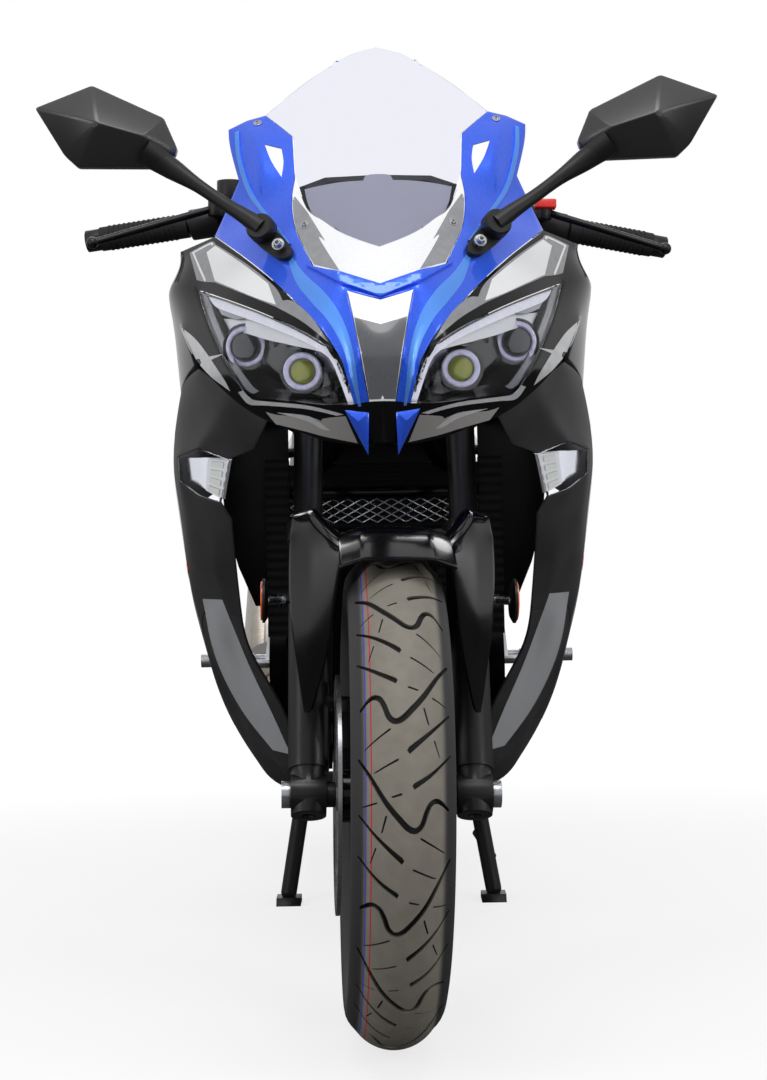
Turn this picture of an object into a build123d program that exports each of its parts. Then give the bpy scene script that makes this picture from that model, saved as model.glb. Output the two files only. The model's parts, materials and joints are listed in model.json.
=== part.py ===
"""Sport motorcycle with a twin-lamp fairing, parked on its centre stand.

Frame: +Z up, -Y forward, +X to the rider's left.  The origin is on the ground at the
centre plane, midway along the machine.  All sizes are millimetres and degrees.
In the tables a point is (side, back, up): its distance from the centre plane, its
distance behind the front axle and its height above the ground.
"""
from build123d import *
import os
from math import asin, atan2, cos, degrees, hypot, pi, radians, sin, sqrt, tan

os.makedirs("parts", exist_ok=True)

# Running gear
WHEELBASE = 1380.0
FRONT_AXLE_Y = -700.0
REAR_LIFT = 20.0
BEAD_SEAT_R = 216.0
FLANGE_HEIGHT = 7.0
FLANGE_THICK = 4.0
FRONT_TYRE_R = 293.0
FRONT_TYRE_WIDTH = 112.0
FRONT_RIM_WIDTH = 80.0
REAR_TYRE_R = 314.0
REAR_TYRE_WIDTH = 140.0
REAR_RIM_WIDTH = 104.0
TYRE_WALL = 9.0
HUB_R = 33.0
AXLE_R = 10.0
AXLE_NUT_R = 16.0
SPOKE_WIDTH = 26.0
SPOKE_DEPTH = 30.0
SPOKES = 5
FRONT_DISC_R = 141.0
FRONT_DISC_X = -64.0
REAR_DISC_R = 110.0
REAR_DISC_X = -88.0
DISC_THICK = 4.5
DISC_HOLE_R = 3.5
DISC_HOLES = 24
SPROCKET_R = 100.0
SPROCKET_X = 92.0
SPROCKET_THICK = 6.0
DRIVE_SPROCKET_R = 34.0
CHAIN_HEIGHT = 14.0
CHAIN_WIDTH = 18.0
CHAIN_CLEAR = 1.0

# Steering
CASTER = 25.0
TRAIL_OFFSET = 37.7
STEER_TURN = 3.0
FORK_SIDE = 98.0
FORK_TUBE_R = 18.5
FORK_LEG_R = 24.5
FORK_LEG_TOP = 352.0
FORK_FOOT_R = 27.0
FORK_FOOT_BELOW = 26.0
FORK_TOP = 790.0
FOOT_BORE_R = 8.0
FOOT_BORE_DEPTH = 14.0
LOWER_YOKE = 498.0
UPPER_YOKE = 716.0
YOKE_THICK = 26.0
YOKE_RIM = 12.0
STEM_R = 15.0
HEAD_TUBE_R = 27.0
HEAD_CLEAR = 0.5
BAR_R = 11.0
BAR_ROOT = (104.0, 350.0, 1046.0)
BAR_TIP = (382.0, 402.0, 1008.0)
GRIP_R = 16.5
GRIP_LENGTH = 122.0
BAR_END_R = 15.0
BAR_END_LENGTH = 20.0
LEVER_PIVOT = (222.0, 335.0, 1042.0)
LEVER_BALL = (386.0, 316.0, 990.0)
LEVER_BALL_R = 8.0
LEVER_R = 5.0
MUDGUARD_GAP = 13.0
MUDGUARD_WALL = 3.0
MUDGUARD_HALF = 66.0

# Bodywork
PANEL = 3.5
SCREEN_WALL = 3.0

# Chassis
PIVOT_BACK = 880.0
PIVOT_UP = 400.0
PIVOT_R = 21.0
PLATE_SIDE = 150.0
PLATE_THICK = 20.0
SWINGARM_SIDE = 130.0
SWINGARM_WIDTH = 24.0
SWINGARM_HEIGHT = 52.0
SPOOL_BORE_R = 4.0
SPOOL_DEPTH = 22.0
ENGINE_HALF = 145.0
CYLINDER_HALF = 95.0
RAIL_R = 11.0
FILLER_BACK = 600.0
FILLER_UP = 1000.0
FILLER_R = 20.0
FILLER_DEPTH = 42.0
CAP_R = 46.0
CAP_THICK = 12.0

# Stands
STAND_PIVOT_BACK = 915.0
STAND_PIVOT_UP = 305.0
STAND_FOOT_BACK = 893.0
STAND_FOOT_SIDE = 168.0
STAND_TUBE_R = 13.0
STAND_SIDE = 120.0
SIDE_PIVOT = (150.0, 640.0, 262.0)
SIDE_STAND_LENGTH = 262.0

FRONT_AXLE_UP = FRONT_TYRE_R
REAR_AXLE_UP = REAR_TYRE_R + REAR_LIFT


def at(side, back, up):
    return Vector(side, FRONT_AXLE_Y + back, up)


def steer_point(along, forward=0.0, side=0.0):
    """A point beside the steering axis, with the bars straight ahead."""
    back = TRAIL_OFFSET / cos(radians(CASTER)) + along * sin(radians(CASTER)) - forward * cos(radians(CASTER))
    up = FRONT_AXLE_UP + along * cos(radians(CASTER)) + forward * sin(radians(CASTER))
    return (side, back, up)


def rod(start, end, radius):
    first, last = at(*start), at(*end)
    return Solid.make_cylinder(radius, (last - first).length, Plane(origin=first, z_dir=last - first))


def cone(start, end, radius, end_radius):
    first, last = at(*start), at(*end)
    return Solid.make_cone(radius, end_radius, (last - first).length, Plane(origin=first, z_dir=last - first))


def ball(centre, radius):
    return Solid.make_sphere(radius, Plane(origin=at(*centre)), -90, 90, 360)


def chain_of_rods(points, radius):
    """A bent bar: rods between the points with a ball at each turn."""
    bar = rod(points[0], points[1], radius)
    for start, end in zip(points[1:], points[2:]):
        bar = bar + ball(start, radius) + rod(start, end, radius)
    return bar


def beam(start, end, width, height):
    """A straight box section from start to end, its width level."""
    first, last = at(*start), at(*end)
    run = last - first
    level = Vector(0, 0, 1).cross(run).normalized()
    base = Plane(origin=first, x_dir=level, z_dir=run)
    corner = first - base.x_dir * (width / 2) - base.y_dir * (height / 2)
    return Solid.make_box(width, height, run.length, Plane(origin=corner, x_dir=level, z_dir=run))


def prism(outline, side_from, side_to):
    """A plate cut from a (back, up) outline, standing from one side distance to another."""
    wire = Wire.make_polygon([at(side_from, back, up) for back, up in outline])
    return Solid.extrude(Face(wire), Vector(side_to - side_from, 0, 0))


def turned(outline):
    """A solid of revolution about the X axis from an (along, radius) outline."""
    wire = Wire.make_polygon([Vector(along, 0, radius) for along, radius in outline])
    return Solid.revolve(Face(wire), 360, Axis.X)


def spun(shape, count):
    return [shape.rotate(Axis.X, 360 / count * turn) for turn in range(count)]


def mirrored(shape):
    return shape.mirror(Plane.YZ)


def both(shape):
    return Compound([shape, mirrored(shape)])


def on_front_axle(shape):
    return shape.moved(Location(at(0, 0, FRONT_AXLE_UP)))


def on_rear_axle(shape):
    return shape.moved(Location(at(0, WHEELBASE, REAR_AXLE_UP)))


STEER_BASE = at(*steer_point(0))
STEER_AXIS = Axis(STEER_BASE, at(*steer_point(1)) - STEER_BASE)


def steered(shape):
    """Turn a steering piece from straight ahead to where it rests."""
    return shape.rotate(STEER_AXIS, STEER_TURN)


def save(shape, node):
    export_step(shape, "parts/" + node + ".step")


# Thick skins on nets of points

def flip(point):
    return (-point[0], point[1], point[2])


def cells_of(rows):
    """The four-cornered cells between neighbouring rows."""
    return [(upper[k], upper[k + 1], lower[k + 1], lower[k])
            for upper, lower in zip(rows, rows[1:]) for k in range(len(upper) - 1)]


def corners(cell):
    return [p for k, p in enumerate(cell) if p != cell[k - 1]]


def cell_normal(cell):
    points = [Vector(*p) for p in corners(cell)]
    total = Vector(0, 0, 0)
    for second, third in zip(points[1:], points[2:]):
        total += (second - points[0]).cross(third - points[0])
    return total


def outward(cell, heart):
    """The cell with its corners counter-clockwise when seen from outside."""
    points = corners(cell)
    middle = sum((Vector(*p) for p in points), Vector(0, 0, 0)) * (1 / len(points))
    if cell_normal(cell).dot(middle - Vector(*heart(middle))) < 0:
        points = points[::-1]
    return points


class Skin:
    """Panels of one wall thickness that share the walls where they meet."""

    def __init__(self, panels, wall, heart):
        self.wall = wall
        self.panels = {}
        self.normals = {}
        for name, cells in panels.items():
            whole = []
            for cell in cells:
                half = outward(cell, heart)
                whole.append(half)
                other = [flip(p) for p in half]
                whole.append(other[:1] + other[:0:-1])
            self.panels[name] = whole
            for cell in whole:
                lean = cell_normal(cell)
                for point in cell:
                    self.normals[self.key(point)] = self.normals.get(self.key(point), Vector(0, 0, 0)) + lean

    @staticmethod
    def key(point):
        return tuple(round(value, 3) + 0.0 for value in point)

    def inner(self, point):
        return Vector(*point) - self.normals[self.key(point)].normalized() * self.wall

    def pieces(self, name):
        """The panel's cells in groups that touch each other."""
        groups = []
        for cell in self.panels[name]:
            keys = {self.key(p) for p in cell}
            joined = [group for group in groups if group[0] & keys]
            merged = (set(keys), [cell])
            for group in joined:
                merged = (merged[0] | group[0], group[1] + merged[1])
                groups.remove(group)
            groups.append(merged)
        return [group[1] for group in groups]

    def solid(self, cells):
        faces = []
        edges = {}
        for cell in cells:
            for second, third in zip(cell[1:], cell[2:]):
                faces.append([Vector(*cell[0]), Vector(*second), Vector(*third)])
                faces.append([self.inner(cell[0]), self.inner(third), self.inner(second)])
            for start, end in zip(cell, cell[1:] + cell[:1]):
                edges[(self.key(start), self.key(end))] = (start, end)
        for (first, last), (start, end) in edges.items():
            if (last, first) in edges:
                continue
            outer_start, outer_end = Vector(*start), Vector(*end)
            inner_start, inner_end = self.inner(start), self.inner(end)
            if (abs(first[0]), first[1:]) < (abs(last[0]), last[1:]):
                faces.append([outer_start, inner_start, inner_end])
                faces.append([outer_start, inner_end, outer_end])
            else:
                faces.append([outer_start, inner_start, outer_end])
                faces.append([outer_end, inner_start, inner_end])
        return closed_solid(faces)

    def part(self, name):
        return Compound([self.solid(cells) for cells in self.pieces(name)])


def closed_solid(triangles):
    """A solid from triangles given as (side, back, up) corners."""
    faces = [Face(Wire.make_polygon([at(p.X, p.Y, p.Z) for p in corner])) for corner in triangles]
    return Solid(Shell(faces))


def ribbed_body(stations):
    """A closed solid through rings of points, each a back distance and a half outline."""
    rings = []
    for back, half in stations:
        right = [(-side, up) for side, up in half[-2:0:-1]]
        rings.append([Vector(side, back, up) for side, up in half + right])
    triangles = []
    for ring, after in zip(rings, rings[1:]):
        for k in range(len(ring)):
            j = (k + 1) % len(ring)
            triangles.append([ring[k], after[k], after[j]])
            triangles.append([ring[k], after[j], ring[j]])
    triangles += [[rings[0][0], rings[0][k], rings[0][k + 1]] for k in range(1, len(rings[0]) - 1)]
    triangles += [[rings[-1][0], rings[-1][k + 1], rings[-1][k]] for k in range(1, len(rings[-1]) - 1)]
    return closed_solid(triangles)


# Wheels

def tyre(outer_r, width, rim_width):
    """A hollow carcass standing on the bead seats."""
    bead = rim_width / 2
    half = width / 2
    neck = BEAD_SEAT_R + FLANGE_HEIGHT
    shoulder = (half * 0.78, outer_r - half * 0.4)
    widest = (half, (neck + shoulder[1]) / 2)

    def arcs(cut):
        low = (bead - cut, neck)
        edge = (shoulder[0] - cut * 0.8, shoulder[1] - cut * 0.6)
        side = (widest[0] - cut, widest[1])
        return [
            Edge.make_three_point_arc(*[Vector(x, 0, r) for x, r in (low, side, edge)]),
            Edge.make_three_point_arc(*[Vector(x, 0, r) for x, r in (
                edge, (0, outer_r - cut), (-edge[0], edge[1]))]),
            Edge.make_three_point_arc(*[Vector(x, 0, r) for x, r in (
                (-edge[0], edge[1]), (-side[0], side[1]), (-low[0], low[1]))])]

    def line(*ends):
        return Edge.make_line(*[Vector(x, 0, r) for x, r in ends])

    inside = bead - TYRE_WALL
    edges = arcs(0) + [line((-bead, neck), (-bead, BEAD_SEAT_R)),
                       line((-bead, BEAD_SEAT_R), (-inside, BEAD_SEAT_R)),
                       line((-inside, BEAD_SEAT_R), (-inside, neck))]
    edges += arcs(TYRE_WALL)
    edges += [line((inside, neck), (inside, BEAD_SEAT_R)),
              line((inside, BEAD_SEAT_R), (bead, BEAD_SEAT_R)),
              line((bead, BEAD_SEAT_R), (bead, neck))]
    return Solid.revolve(Face(Wire(edges)), 360, Axis.X)


def rim(rim_width, hub_half, barrel_r=199.0):
    """Cast wheel: barrel with two flanges, hub and forked spokes."""
    bead = rim_width / 2
    edge = bead + FLANGE_THICK
    inside = bead - TYRE_WALL - 4
    well_r = BEAD_SEAT_R - 12
    half = [(bead, BEAD_SEAT_R + FLANGE_HEIGHT), (bead, BEAD_SEAT_R), (inside, BEAD_SEAT_R),
            (inside - 8, well_r)]
    top = half + [(-x, r) for x, r in half[::-1]]
    barrel = turned(top + [(-edge, BEAD_SEAT_R + FLANGE_HEIGHT), (-edge, BEAD_SEAT_R - 6),
                           (-inside, barrel_r), (inside, barrel_r), (edge, BEAD_SEAT_R - 6),
                           (edge, BEAD_SEAT_R + FLANGE_HEIGHT)])
    wheel = barrel + turned([(-hub_half, AXLE_R), (-hub_half, HUB_R), (hub_half, HUB_R), (hub_half, AXLE_R)])
    for turn in range(SPOKES):
        for lean in (-1, 1):
            wheel = wheel + spoke(lean, barrel_r).rotate(Axis.X, 360 / SPOKES * turn)
    return wheel


def spoke(lean, barrel_r):
    """One arm of a forked spoke, from the hub up to the barrel."""
    root = HUB_R - 6
    reach = barrel_r + 2
    spread = lean * 46.0
    outline = [(-lean * 6, root), (-lean * 6, root + 40), (spread - lean * SPOKE_WIDTH / 2, reach - 12),
               (spread - lean * SPOKE_WIDTH / 2 - lean * 3, reach),
               (spread + lean * SPOKE_WIDTH / 2, reach), (spread + lean * SPOKE_WIDTH / 2 - lean * 4, reach - 16),
               (lean * 18, root + 30), (lean * 16, root)]
    wire = Wire.make_polygon([Vector(-SPOKE_DEPTH / 2, across, up) for across, up in outline])
    return Solid.extrude(Face(wire), Vector(SPOKE_DEPTH, 0, 0))


def disc(outer_r, ring, centre_x, mount_r):
    """Brake disc with its carrier, bolted against the hub end."""
    half = DISC_THICK / 2
    band = turned([(centre_x - half, outer_r - ring), (centre_x - half, outer_r),
                   (centre_x + half, outer_r), (centre_x + half, outer_r - ring)])
    carrier = turned([(centre_x - half, AXLE_R + 6), (centre_x - half, mount_r),
                      (centre_x + half, mount_r), (centre_x + half, AXLE_R + 6)])
    arm = Solid.make_box(DISC_THICK, 18, outer_r - ring - mount_r + 12,
                         Plane(origin=(centre_x - half, -9, mount_r - 6)))
    for piece in spun(arm, 6):
        carrier = carrier + piece
    for share, shift in ((0.3, 0.0), (0.7, 0.5)):
        row_r = outer_r - ring * share
        drill = Solid.make_cylinder(DISC_HOLE_R, DISC_THICK * 2,
                                    Plane(origin=(centre_x - DISC_THICK, 0, row_r), z_dir=(1, 0, 0)))
        drill = drill.rotate(Axis.X, 360 / DISC_HOLES * shift)
        band = band - spun(drill, DISC_HOLES)
    return band + carrier


FRONT_HUB = abs(FRONT_DISC_X) - DISC_THICK / 2
save(steered(on_front_axle(tyre(FRONT_TYRE_R, FRONT_TYRE_WIDTH, FRONT_RIM_WIDTH))), "front_tyre")
save(steered(on_front_axle(rim(FRONT_RIM_WIDTH, FRONT_HUB))), "front_rim")
save(steered(on_front_axle(disc(FRONT_DISC_R, 30, FRONT_DISC_X, 44))), "front_disc")

REAR_HUB = abs(REAR_DISC_X) - DISC_THICK / 2
save(on_rear_axle(tyre(REAR_TYRE_R, REAR_TYRE_WIDTH, REAR_RIM_WIDTH)), "rear_tyre")
save(on_rear_axle(rim(REAR_RIM_WIDTH, REAR_HUB)), "rear_rim")
save(on_rear_axle(disc(REAR_DISC_R, 26, REAR_DISC_X, 44)), "rear_disc")


def sprocket(outer_r, teeth):
    """Toothed ring with a lightened web, on the hub's left end."""
    pitch = 2 * pi / teeth
    points = []
    for k in range(teeth):
        for share, radius in ((-0.28, outer_r - 7), (-0.12, outer_r), (0.12, outer_r), (0.28, outer_r - 7)):
            angle = (k + share) * pitch
            points.append(Vector(0, radius * cos(angle), radius * sin(angle)))
    blank = Solid.extrude(Face(Wire.make_polygon(points)), Vector(SPROCKET_THICK, 0, 0))
    bore = Solid.make_cylinder(AXLE_R + 6, SPROCKET_THICK, Plane(origin=(0, 0, 0), z_dir=(1, 0, 0)))
    window = Solid.make_cylinder(14, SPROCKET_THICK, Plane(origin=(0, 0, 64), z_dir=(1, 0, 0)))
    blank = blank - bore
    for cut in spun(window, 5):
        blank = blank - cut
    return blank.moved(Location((REAR_HUB, 0, 0)))


save(on_rear_axle(sprocket(SPROCKET_R, 42)), "rear_sprocket")

# Fork, yokes, bars

AXLE_ALONG = -TRAIL_OFFSET * tan(radians(CASTER))


def fork_point(side, along):
    """A point on a fork leg's own axis, along from the wheel axle."""
    return steer_point(AXLE_ALONG + along, TRAIL_OFFSET, side)


def fork_leg(side):
    outer = 1 if side > 0 else -1
    tube = rod(fork_point(side, FORK_LEG_TOP), fork_point(side, FORK_TOP), FORK_TUBE_R)
    leg = rod(fork_point(side, 30), fork_point(side, FORK_LEG_TOP), FORK_LEG_R)
    seal = rod(fork_point(side, FORK_LEG_TOP - 26), fork_point(side, FORK_LEG_TOP), FORK_LEG_R + 3)
    foot = rod(fork_point(side, -FORK_FOOT_BELOW), fork_point(side, 40), FORK_FOOT_R - 6)
    lug = rod((side - FORK_FOOT_R + 6, 0, FRONT_AXLE_UP), (side + FORK_FOOT_R - 6, 0, FRONT_AXLE_UP), FORK_FOOT_R - 3)
    collar = cone(fork_point(side, 22), fork_point(side, 62), FORK_FOOT_R - 6, FORK_LEG_R)
    leg = leg + seal + foot + lug + collar + tube
    bore = rod(fork_point(side, -FORK_FOOT_BELOW), fork_point(side, FOOT_BORE_DEPTH - FORK_FOOT_BELOW), FOOT_BORE_R)
    axle_hole = rod((side - 60, 0, FRONT_AXLE_UP), (side + 60, 0, FRONT_AXLE_UP), AXLE_R)
    return leg - bore - axle_hole


AXLE_REACH = FORK_SIDE + FORK_FOOT_R - 6
front_axle = rod((-AXLE_REACH - 4, 0, FRONT_AXLE_UP), (AXLE_REACH, 0, FRONT_AXLE_UP), AXLE_R - 0.3)
for nut_side in (-1, 1):
    front_axle = front_axle + rod((nut_side * AXLE_REACH, 0, FRONT_AXLE_UP),
                                  (nut_side * (AXLE_REACH + 11), 0, FRONT_AXLE_UP), AXLE_NUT_R)
save(steered(front_axle), "front_axle")
SPACER_IN = FRONT_HUB + DISC_THICK + 0.5
spacer = rod((SPACER_IN, 0, FRONT_AXLE_UP), (FORK_SIDE - FORK_FOOT_R + 6, 0, FRONT_AXLE_UP), 15) \
    - rod((SPACER_IN, 0, FRONT_AXLE_UP), (FORK_SIDE, 0, FRONT_AXLE_UP), AXLE_R)
save(steered(Compound([fork_leg(FORK_SIDE), fork_leg(-FORK_SIDE), spacer, mirrored(spacer)])), "fork_legs")


def yoke(along):
    """A plate with two clamps round the fork tubes and the stem's boss."""
    clamp_r = FORK_TUBE_R + YOKE_RIM
    plate = rod(steer_point(along), steer_point(along + YOKE_THICK), 30)
    for side in (-FORK_SIDE, FORK_SIDE):
        plate = plate + rod(steer_point(along, TRAIL_OFFSET, side),
                            steer_point(along + YOKE_THICK, TRAIL_OFFSET, side), clamp_r)
        middle = beam(steer_point(along + YOKE_THICK / 2, 4, 0),
                      steer_point(along + YOKE_THICK / 2, TRAIL_OFFSET, side), 34, YOKE_THICK - 10)
        plate = plate + middle
    for side in (-FORK_SIDE, FORK_SIDE):
        plate = plate - rod(steer_point(along - 10, TRAIL_OFFSET, side),
                            steer_point(along + YOKE_THICK + 10, TRAIL_OFFSET, side), FORK_TUBE_R)
    return plate


stem = rod(steer_point(LOWER_YOKE + 2), steer_point(UPPER_YOKE + YOKE_THICK + 10), STEM_R)
yokes = yoke(LOWER_YOKE) + yoke(UPPER_YOKE) + stem
save(steered(yokes), "fork_yokes")


def along_line(start, end, distance):
    first, last = Vector(*start), Vector(*end)
    return tuple(first + (last - first).normalized() * distance)


BAR_LENGTH = (Vector(*BAR_TIP) - Vector(*BAR_ROOT)).length
clip_low = UPPER_YOKE + YOKE_THICK + 2
clamp = rod(steer_point(clip_low, TRAIL_OFFSET, FORK_SIDE), steer_point(clip_low + 34, TRAIL_OFFSET, FORK_SIDE),
            FORK_TUBE_R + 9)
clamp = clamp + beam(steer_point(clip_low + 24, TRAIL_OFFSET - 16, FORK_SIDE), BAR_ROOT, 22, 20)
clamp = clamp - rod(steer_point(clip_low - 10, TRAIL_OFFSET, FORK_SIDE),
                    steer_point(clip_low + 60, TRAIL_OFFSET, FORK_SIDE), FORK_TUBE_R)
BAR_SOCKET_R = BAR_R + 4
bar = clamp + rod(along_line(BAR_ROOT, BAR_TIP, -14), along_line(BAR_ROOT, BAR_TIP, 22), BAR_SOCKET_R)
bar = bar + rod(BAR_ROOT, BAR_TIP, BAR_R)
bar = bar + rod(BAR_TIP, along_line(BAR_ROOT, BAR_TIP, BAR_LENGTH + BAR_END_LENGTH), BAR_END_R)
save(steered(both(bar)), "handlebars")
GRIP_START = BAR_LENGTH - GRIP_LENGTH - 2
grip = rod(along_line(BAR_ROOT, BAR_TIP, GRIP_START), along_line(BAR_ROOT, BAR_TIP, BAR_LENGTH - 0.3), GRIP_R) \
    - rod(BAR_ROOT, BAR_TIP, BAR_R)
save(steered(both(grip)), "grips")
switch_body = rod(along_line(BAR_ROOT, BAR_TIP, GRIP_START - 46), along_line(BAR_ROOT, BAR_TIP, GRIP_START - 4), 21) \
    - rod(BAR_ROOT, BAR_TIP, BAR_R)
save(steered(both(switch_body)), "switchgear")
perch_at = along_line(BAR_ROOT, BAR_TIP, GRIP_START - 66)
perch = rod(along_line(BAR_ROOT, BAR_TIP, GRIP_START - 76), along_line(BAR_ROOT, BAR_TIP, GRIP_START - 50), 16)
perch = perch + beam(perch_at, LEVER_PIVOT, 18, 20)
perch = perch - rod(BAR_ROOT, BAR_TIP, BAR_R)
BOSS_R = 11.0
BOSS_HALF = 11.0
boss = rod((*LEVER_PIVOT[:2], LEVER_PIVOT[2] - BOSS_HALF), (*LEVER_PIVOT[:2], LEVER_PIVOT[2] + BOSS_HALF), BOSS_R)
perch = perch + boss
lever = rod(along_line(LEVER_PIVOT, LEVER_BALL, 2), LEVER_BALL, LEVER_R) + ball(LEVER_BALL, LEVER_BALL_R)
lever = lever - rod((*LEVER_PIVOT[:2], LEVER_PIVOT[2] - 30), (*LEVER_PIVOT[:2], LEVER_PIVOT[2] + 30), BOSS_R + 0.3)
RESERVOIR_R = 19.0
RESERVOIR_HEIGHT = 32.0
reservoir_base = (perch_at[0] + 6, perch_at[1] - 10, perch_at[2] + 16.4)
reservoir = rod(reservoir_base, (*reservoir_base[:2], reservoir_base[2] + RESERVOIR_HEIGHT), RESERVOIR_R)
perch = perch - switch_body
save(steered(Compound([perch, mirrored(perch), lever, mirrored(lever), mirrored(reservoir)])), "levers")


def guard_arc(radius, half, first, last):
    """A band over the tyre between two angles from straight ahead of the axle."""
    band = turned([(-half, radius), (-half * 0.6, radius + 10), (half * 0.6, radius + 10), (half, radius),
                   (half - MUDGUARD_WALL, radius - MUDGUARD_WALL),
                   (half * 0.6 - 1, radius + 10 - MUDGUARD_WALL), (1 - half * 0.6, radius + 10 - MUDGUARD_WALL),
                   (MUDGUARD_WALL - half, radius - MUDGUARD_WALL)])
    reach = radius * 2
    steps = [first + (last - first) * k / 4 for k in range(5)]
    wedge = [Vector(-reach, 0, 0)] + [Vector(-reach, -reach * cos(radians(a)), reach * sin(radians(a))) for a in steps]
    return band & Solid.extrude(Face(Wire.make_polygon(wedge)), Vector(2 * reach, 0, 0))


GUARD_R = FRONT_TYRE_R + MUDGUARD_GAP
mudguard = on_front_axle(guard_arc(GUARD_R, MUDGUARD_HALF, 62, 158))
# Fins ahead of the fork legs: rows from the crown down to the tip, columns inner, middle, outer.
FIN = [[(60, 62, 594), (90, 60, 632), (112, 62, 628)],
       [(60, 0, 600), (94, 20, 628), (118, 30, 622)],
       [(60, -60, 594), (96, -14, 606), (121, 10, 598)],
       [(62, -108, 580), (96, -34, 570), (122, 4, 566)],
       [(70, -88, 520), (98, -40, 515), (121, -2, 515)],
       [(80, -66, 460), (100, -36, 456), (114, -14, 456)],
       [(96, -36, 396), (100, -30, 392), (104, -24, 392)]]
fins = Skin({"fin": cells_of(FIN)}, MUDGUARD_WALL, lambda middle: (60, 200, 500)).part("fin")
STAY_UP = 596.0
stay_back = fork_point(0, (STAY_UP - FRONT_AXLE_UP) / cos(radians(CASTER)))[1]
stay = rod((MUDGUARD_HALF - 5, stay_back, STAY_UP), (FORK_SIDE - 10, stay_back, STAY_UP), 13)


def guard_up(back):
    """Height of the mudguard's underside at a distance back."""
    return FRONT_AXLE_UP + sqrt(GUARD_R ** 2 - back ** 2)


near_guard, far_guard = stay_back - 40, stay_back - 60
stay = stay + prism([(far_guard, guard_up(far_guard) - 22), (near_guard, guard_up(near_guard) + 2),
                     (stay_back, STAY_UP + 12), (stay_back + 10, STAY_UP - 8),
                     (near_guard, guard_up(near_guard) - 26)], MUDGUARD_HALF - 4, MUDGUARD_HALF + 4)
stay = stay - rod(fork_point(FORK_SIDE, 100), fork_point(FORK_SIDE, 400), FORK_LEG_R + 3.3)
save(steered(mudguard + fins + both(stay)), "front_mudguard")

CALIPER_GAP = 1.5
caliper = prism([(96, 312), (140, 326), (158, 352), (150, 378), (116, 400), (84, 384), (74, 340)],
                FRONT_DISC_X - 30, FRONT_DISC_X + 24)
caliper = caliper + prism([(40, 330), (96, 322), (100, 372), (60, 384)], FRONT_DISC_X - 30, FRONT_DISC_X - 10)
slot_half = DISC_THICK / 2 + CALIPER_GAP
caliper = caliper - rod((FRONT_DISC_X - slot_half, 0, FRONT_AXLE_UP), (FRONT_DISC_X + slot_half, 0, FRONT_AXLE_UP),
                        FRONT_DISC_R + 3)
caliper = caliper - rod(fork_point(-FORK_SIDE, 20), fork_point(-FORK_SIDE, 250), FORK_LEG_R + 0.3)
save(steered(caliper), "front_caliper")

reflector = rod((FORK_SIDE + 52, 62, 520), (FORK_SIDE + 58, 62, 520), 26)
reflector = reflector + rod((FORK_SIDE + 20, 100, 520), (FORK_SIDE + 52, 62, 520), 5)
reflector = reflector - rod(fork_point(FORK_SIDE, 20), fork_point(FORK_SIDE, FORK_LEG_TOP), FORK_LEG_R + 0.3)
save(steered(both(reflector)), "side_reflectors")

# Bodywork nets, one half each

# Windscreen: rows from its lower tip upwards, columns centre, middle and edge.
SCREEN = [[(0, -57, 933), (24, -47, 943), (50, -27, 958)],
          [(0, -38, 957), (34, -28, 962), (68, -8, 974)],
          [(0, -18, 980), (44, -8, 982), (85, 12, 990)],
          [(0, 30, 1032), (54, 34, 1034), (100, 54, 1036)],
          [(0, 80, 1088), (58, 84, 1088), (104, 103, 1095)],
          [(0, 128, 1145), (72, 132, 1140), (139, 140, 1130)],
          [(0, 166, 1190), (50, 164, 1182), (94, 160, 1172)],
          [(0, 200, 1228), (27, 192, 1219), (51, 182, 1205)]]
# Wing of the nose cowl: rows from the top down to the nose tip, columns inner, crease, outer.
WING = [[(139, 140, 1130), (163, 141, 1124), (187, 142, 1113)],
        [(104, 103, 1095), (150, 106, 1092), (184, 126, 1086)],
        [(100, 54, 1036), (142, 72, 1044), (172, 98, 1040)],
        [(104, 30, 1004), (150, 64, 1004), (190, 102, 1001)],
        [(100, 5, 968), (150, 32, 962), (204, 109, 974)],
        [(88, -26, 938), (126, -2, 938), (161, 31, 935)],
        [(77, -53, 912), (100, -44, 905), (121, -34, 895)],
        [(46, -85, 886), (66, -87, 872), (83, -87, 852)],
        [(38, -101, 865), (50, -106, 846), (61, -109, 824)],
        [(30, -117, 838), (38, -120, 818), (45, -120, 796)],
        [(24, -127, 803), (31, -124, 786), (37, -116, 767)],
        [(15, -116, 749), (24, -114, 748), (32, -111, 747)]]
WING_INNER = [row[0] for row in WING]
WING_OUTER = [row[2] for row in WING]
SCREEN_FOOT = [SCREEN[3][2], SCREEN[2][2], SCREEN[1][2]] + SCREEN[0][::-1]
SHIELD = [SCREEN_FOOT, WING_INNER[3:8] + [(0, -97, 881)]]
CHEVRON = [[WING_INNER[7], (0, -97, 881)], [WING_INNER[8], (0, -106, 866)]]
CENTRE = [[(0, -106, 866), WING_INNER[8]], [(0, -121, 835), WING_INNER[9]],
          [(0, -132, 803), WING_INNER[10]], [(0, -121, 749), WING_INNER[11]]]
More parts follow.
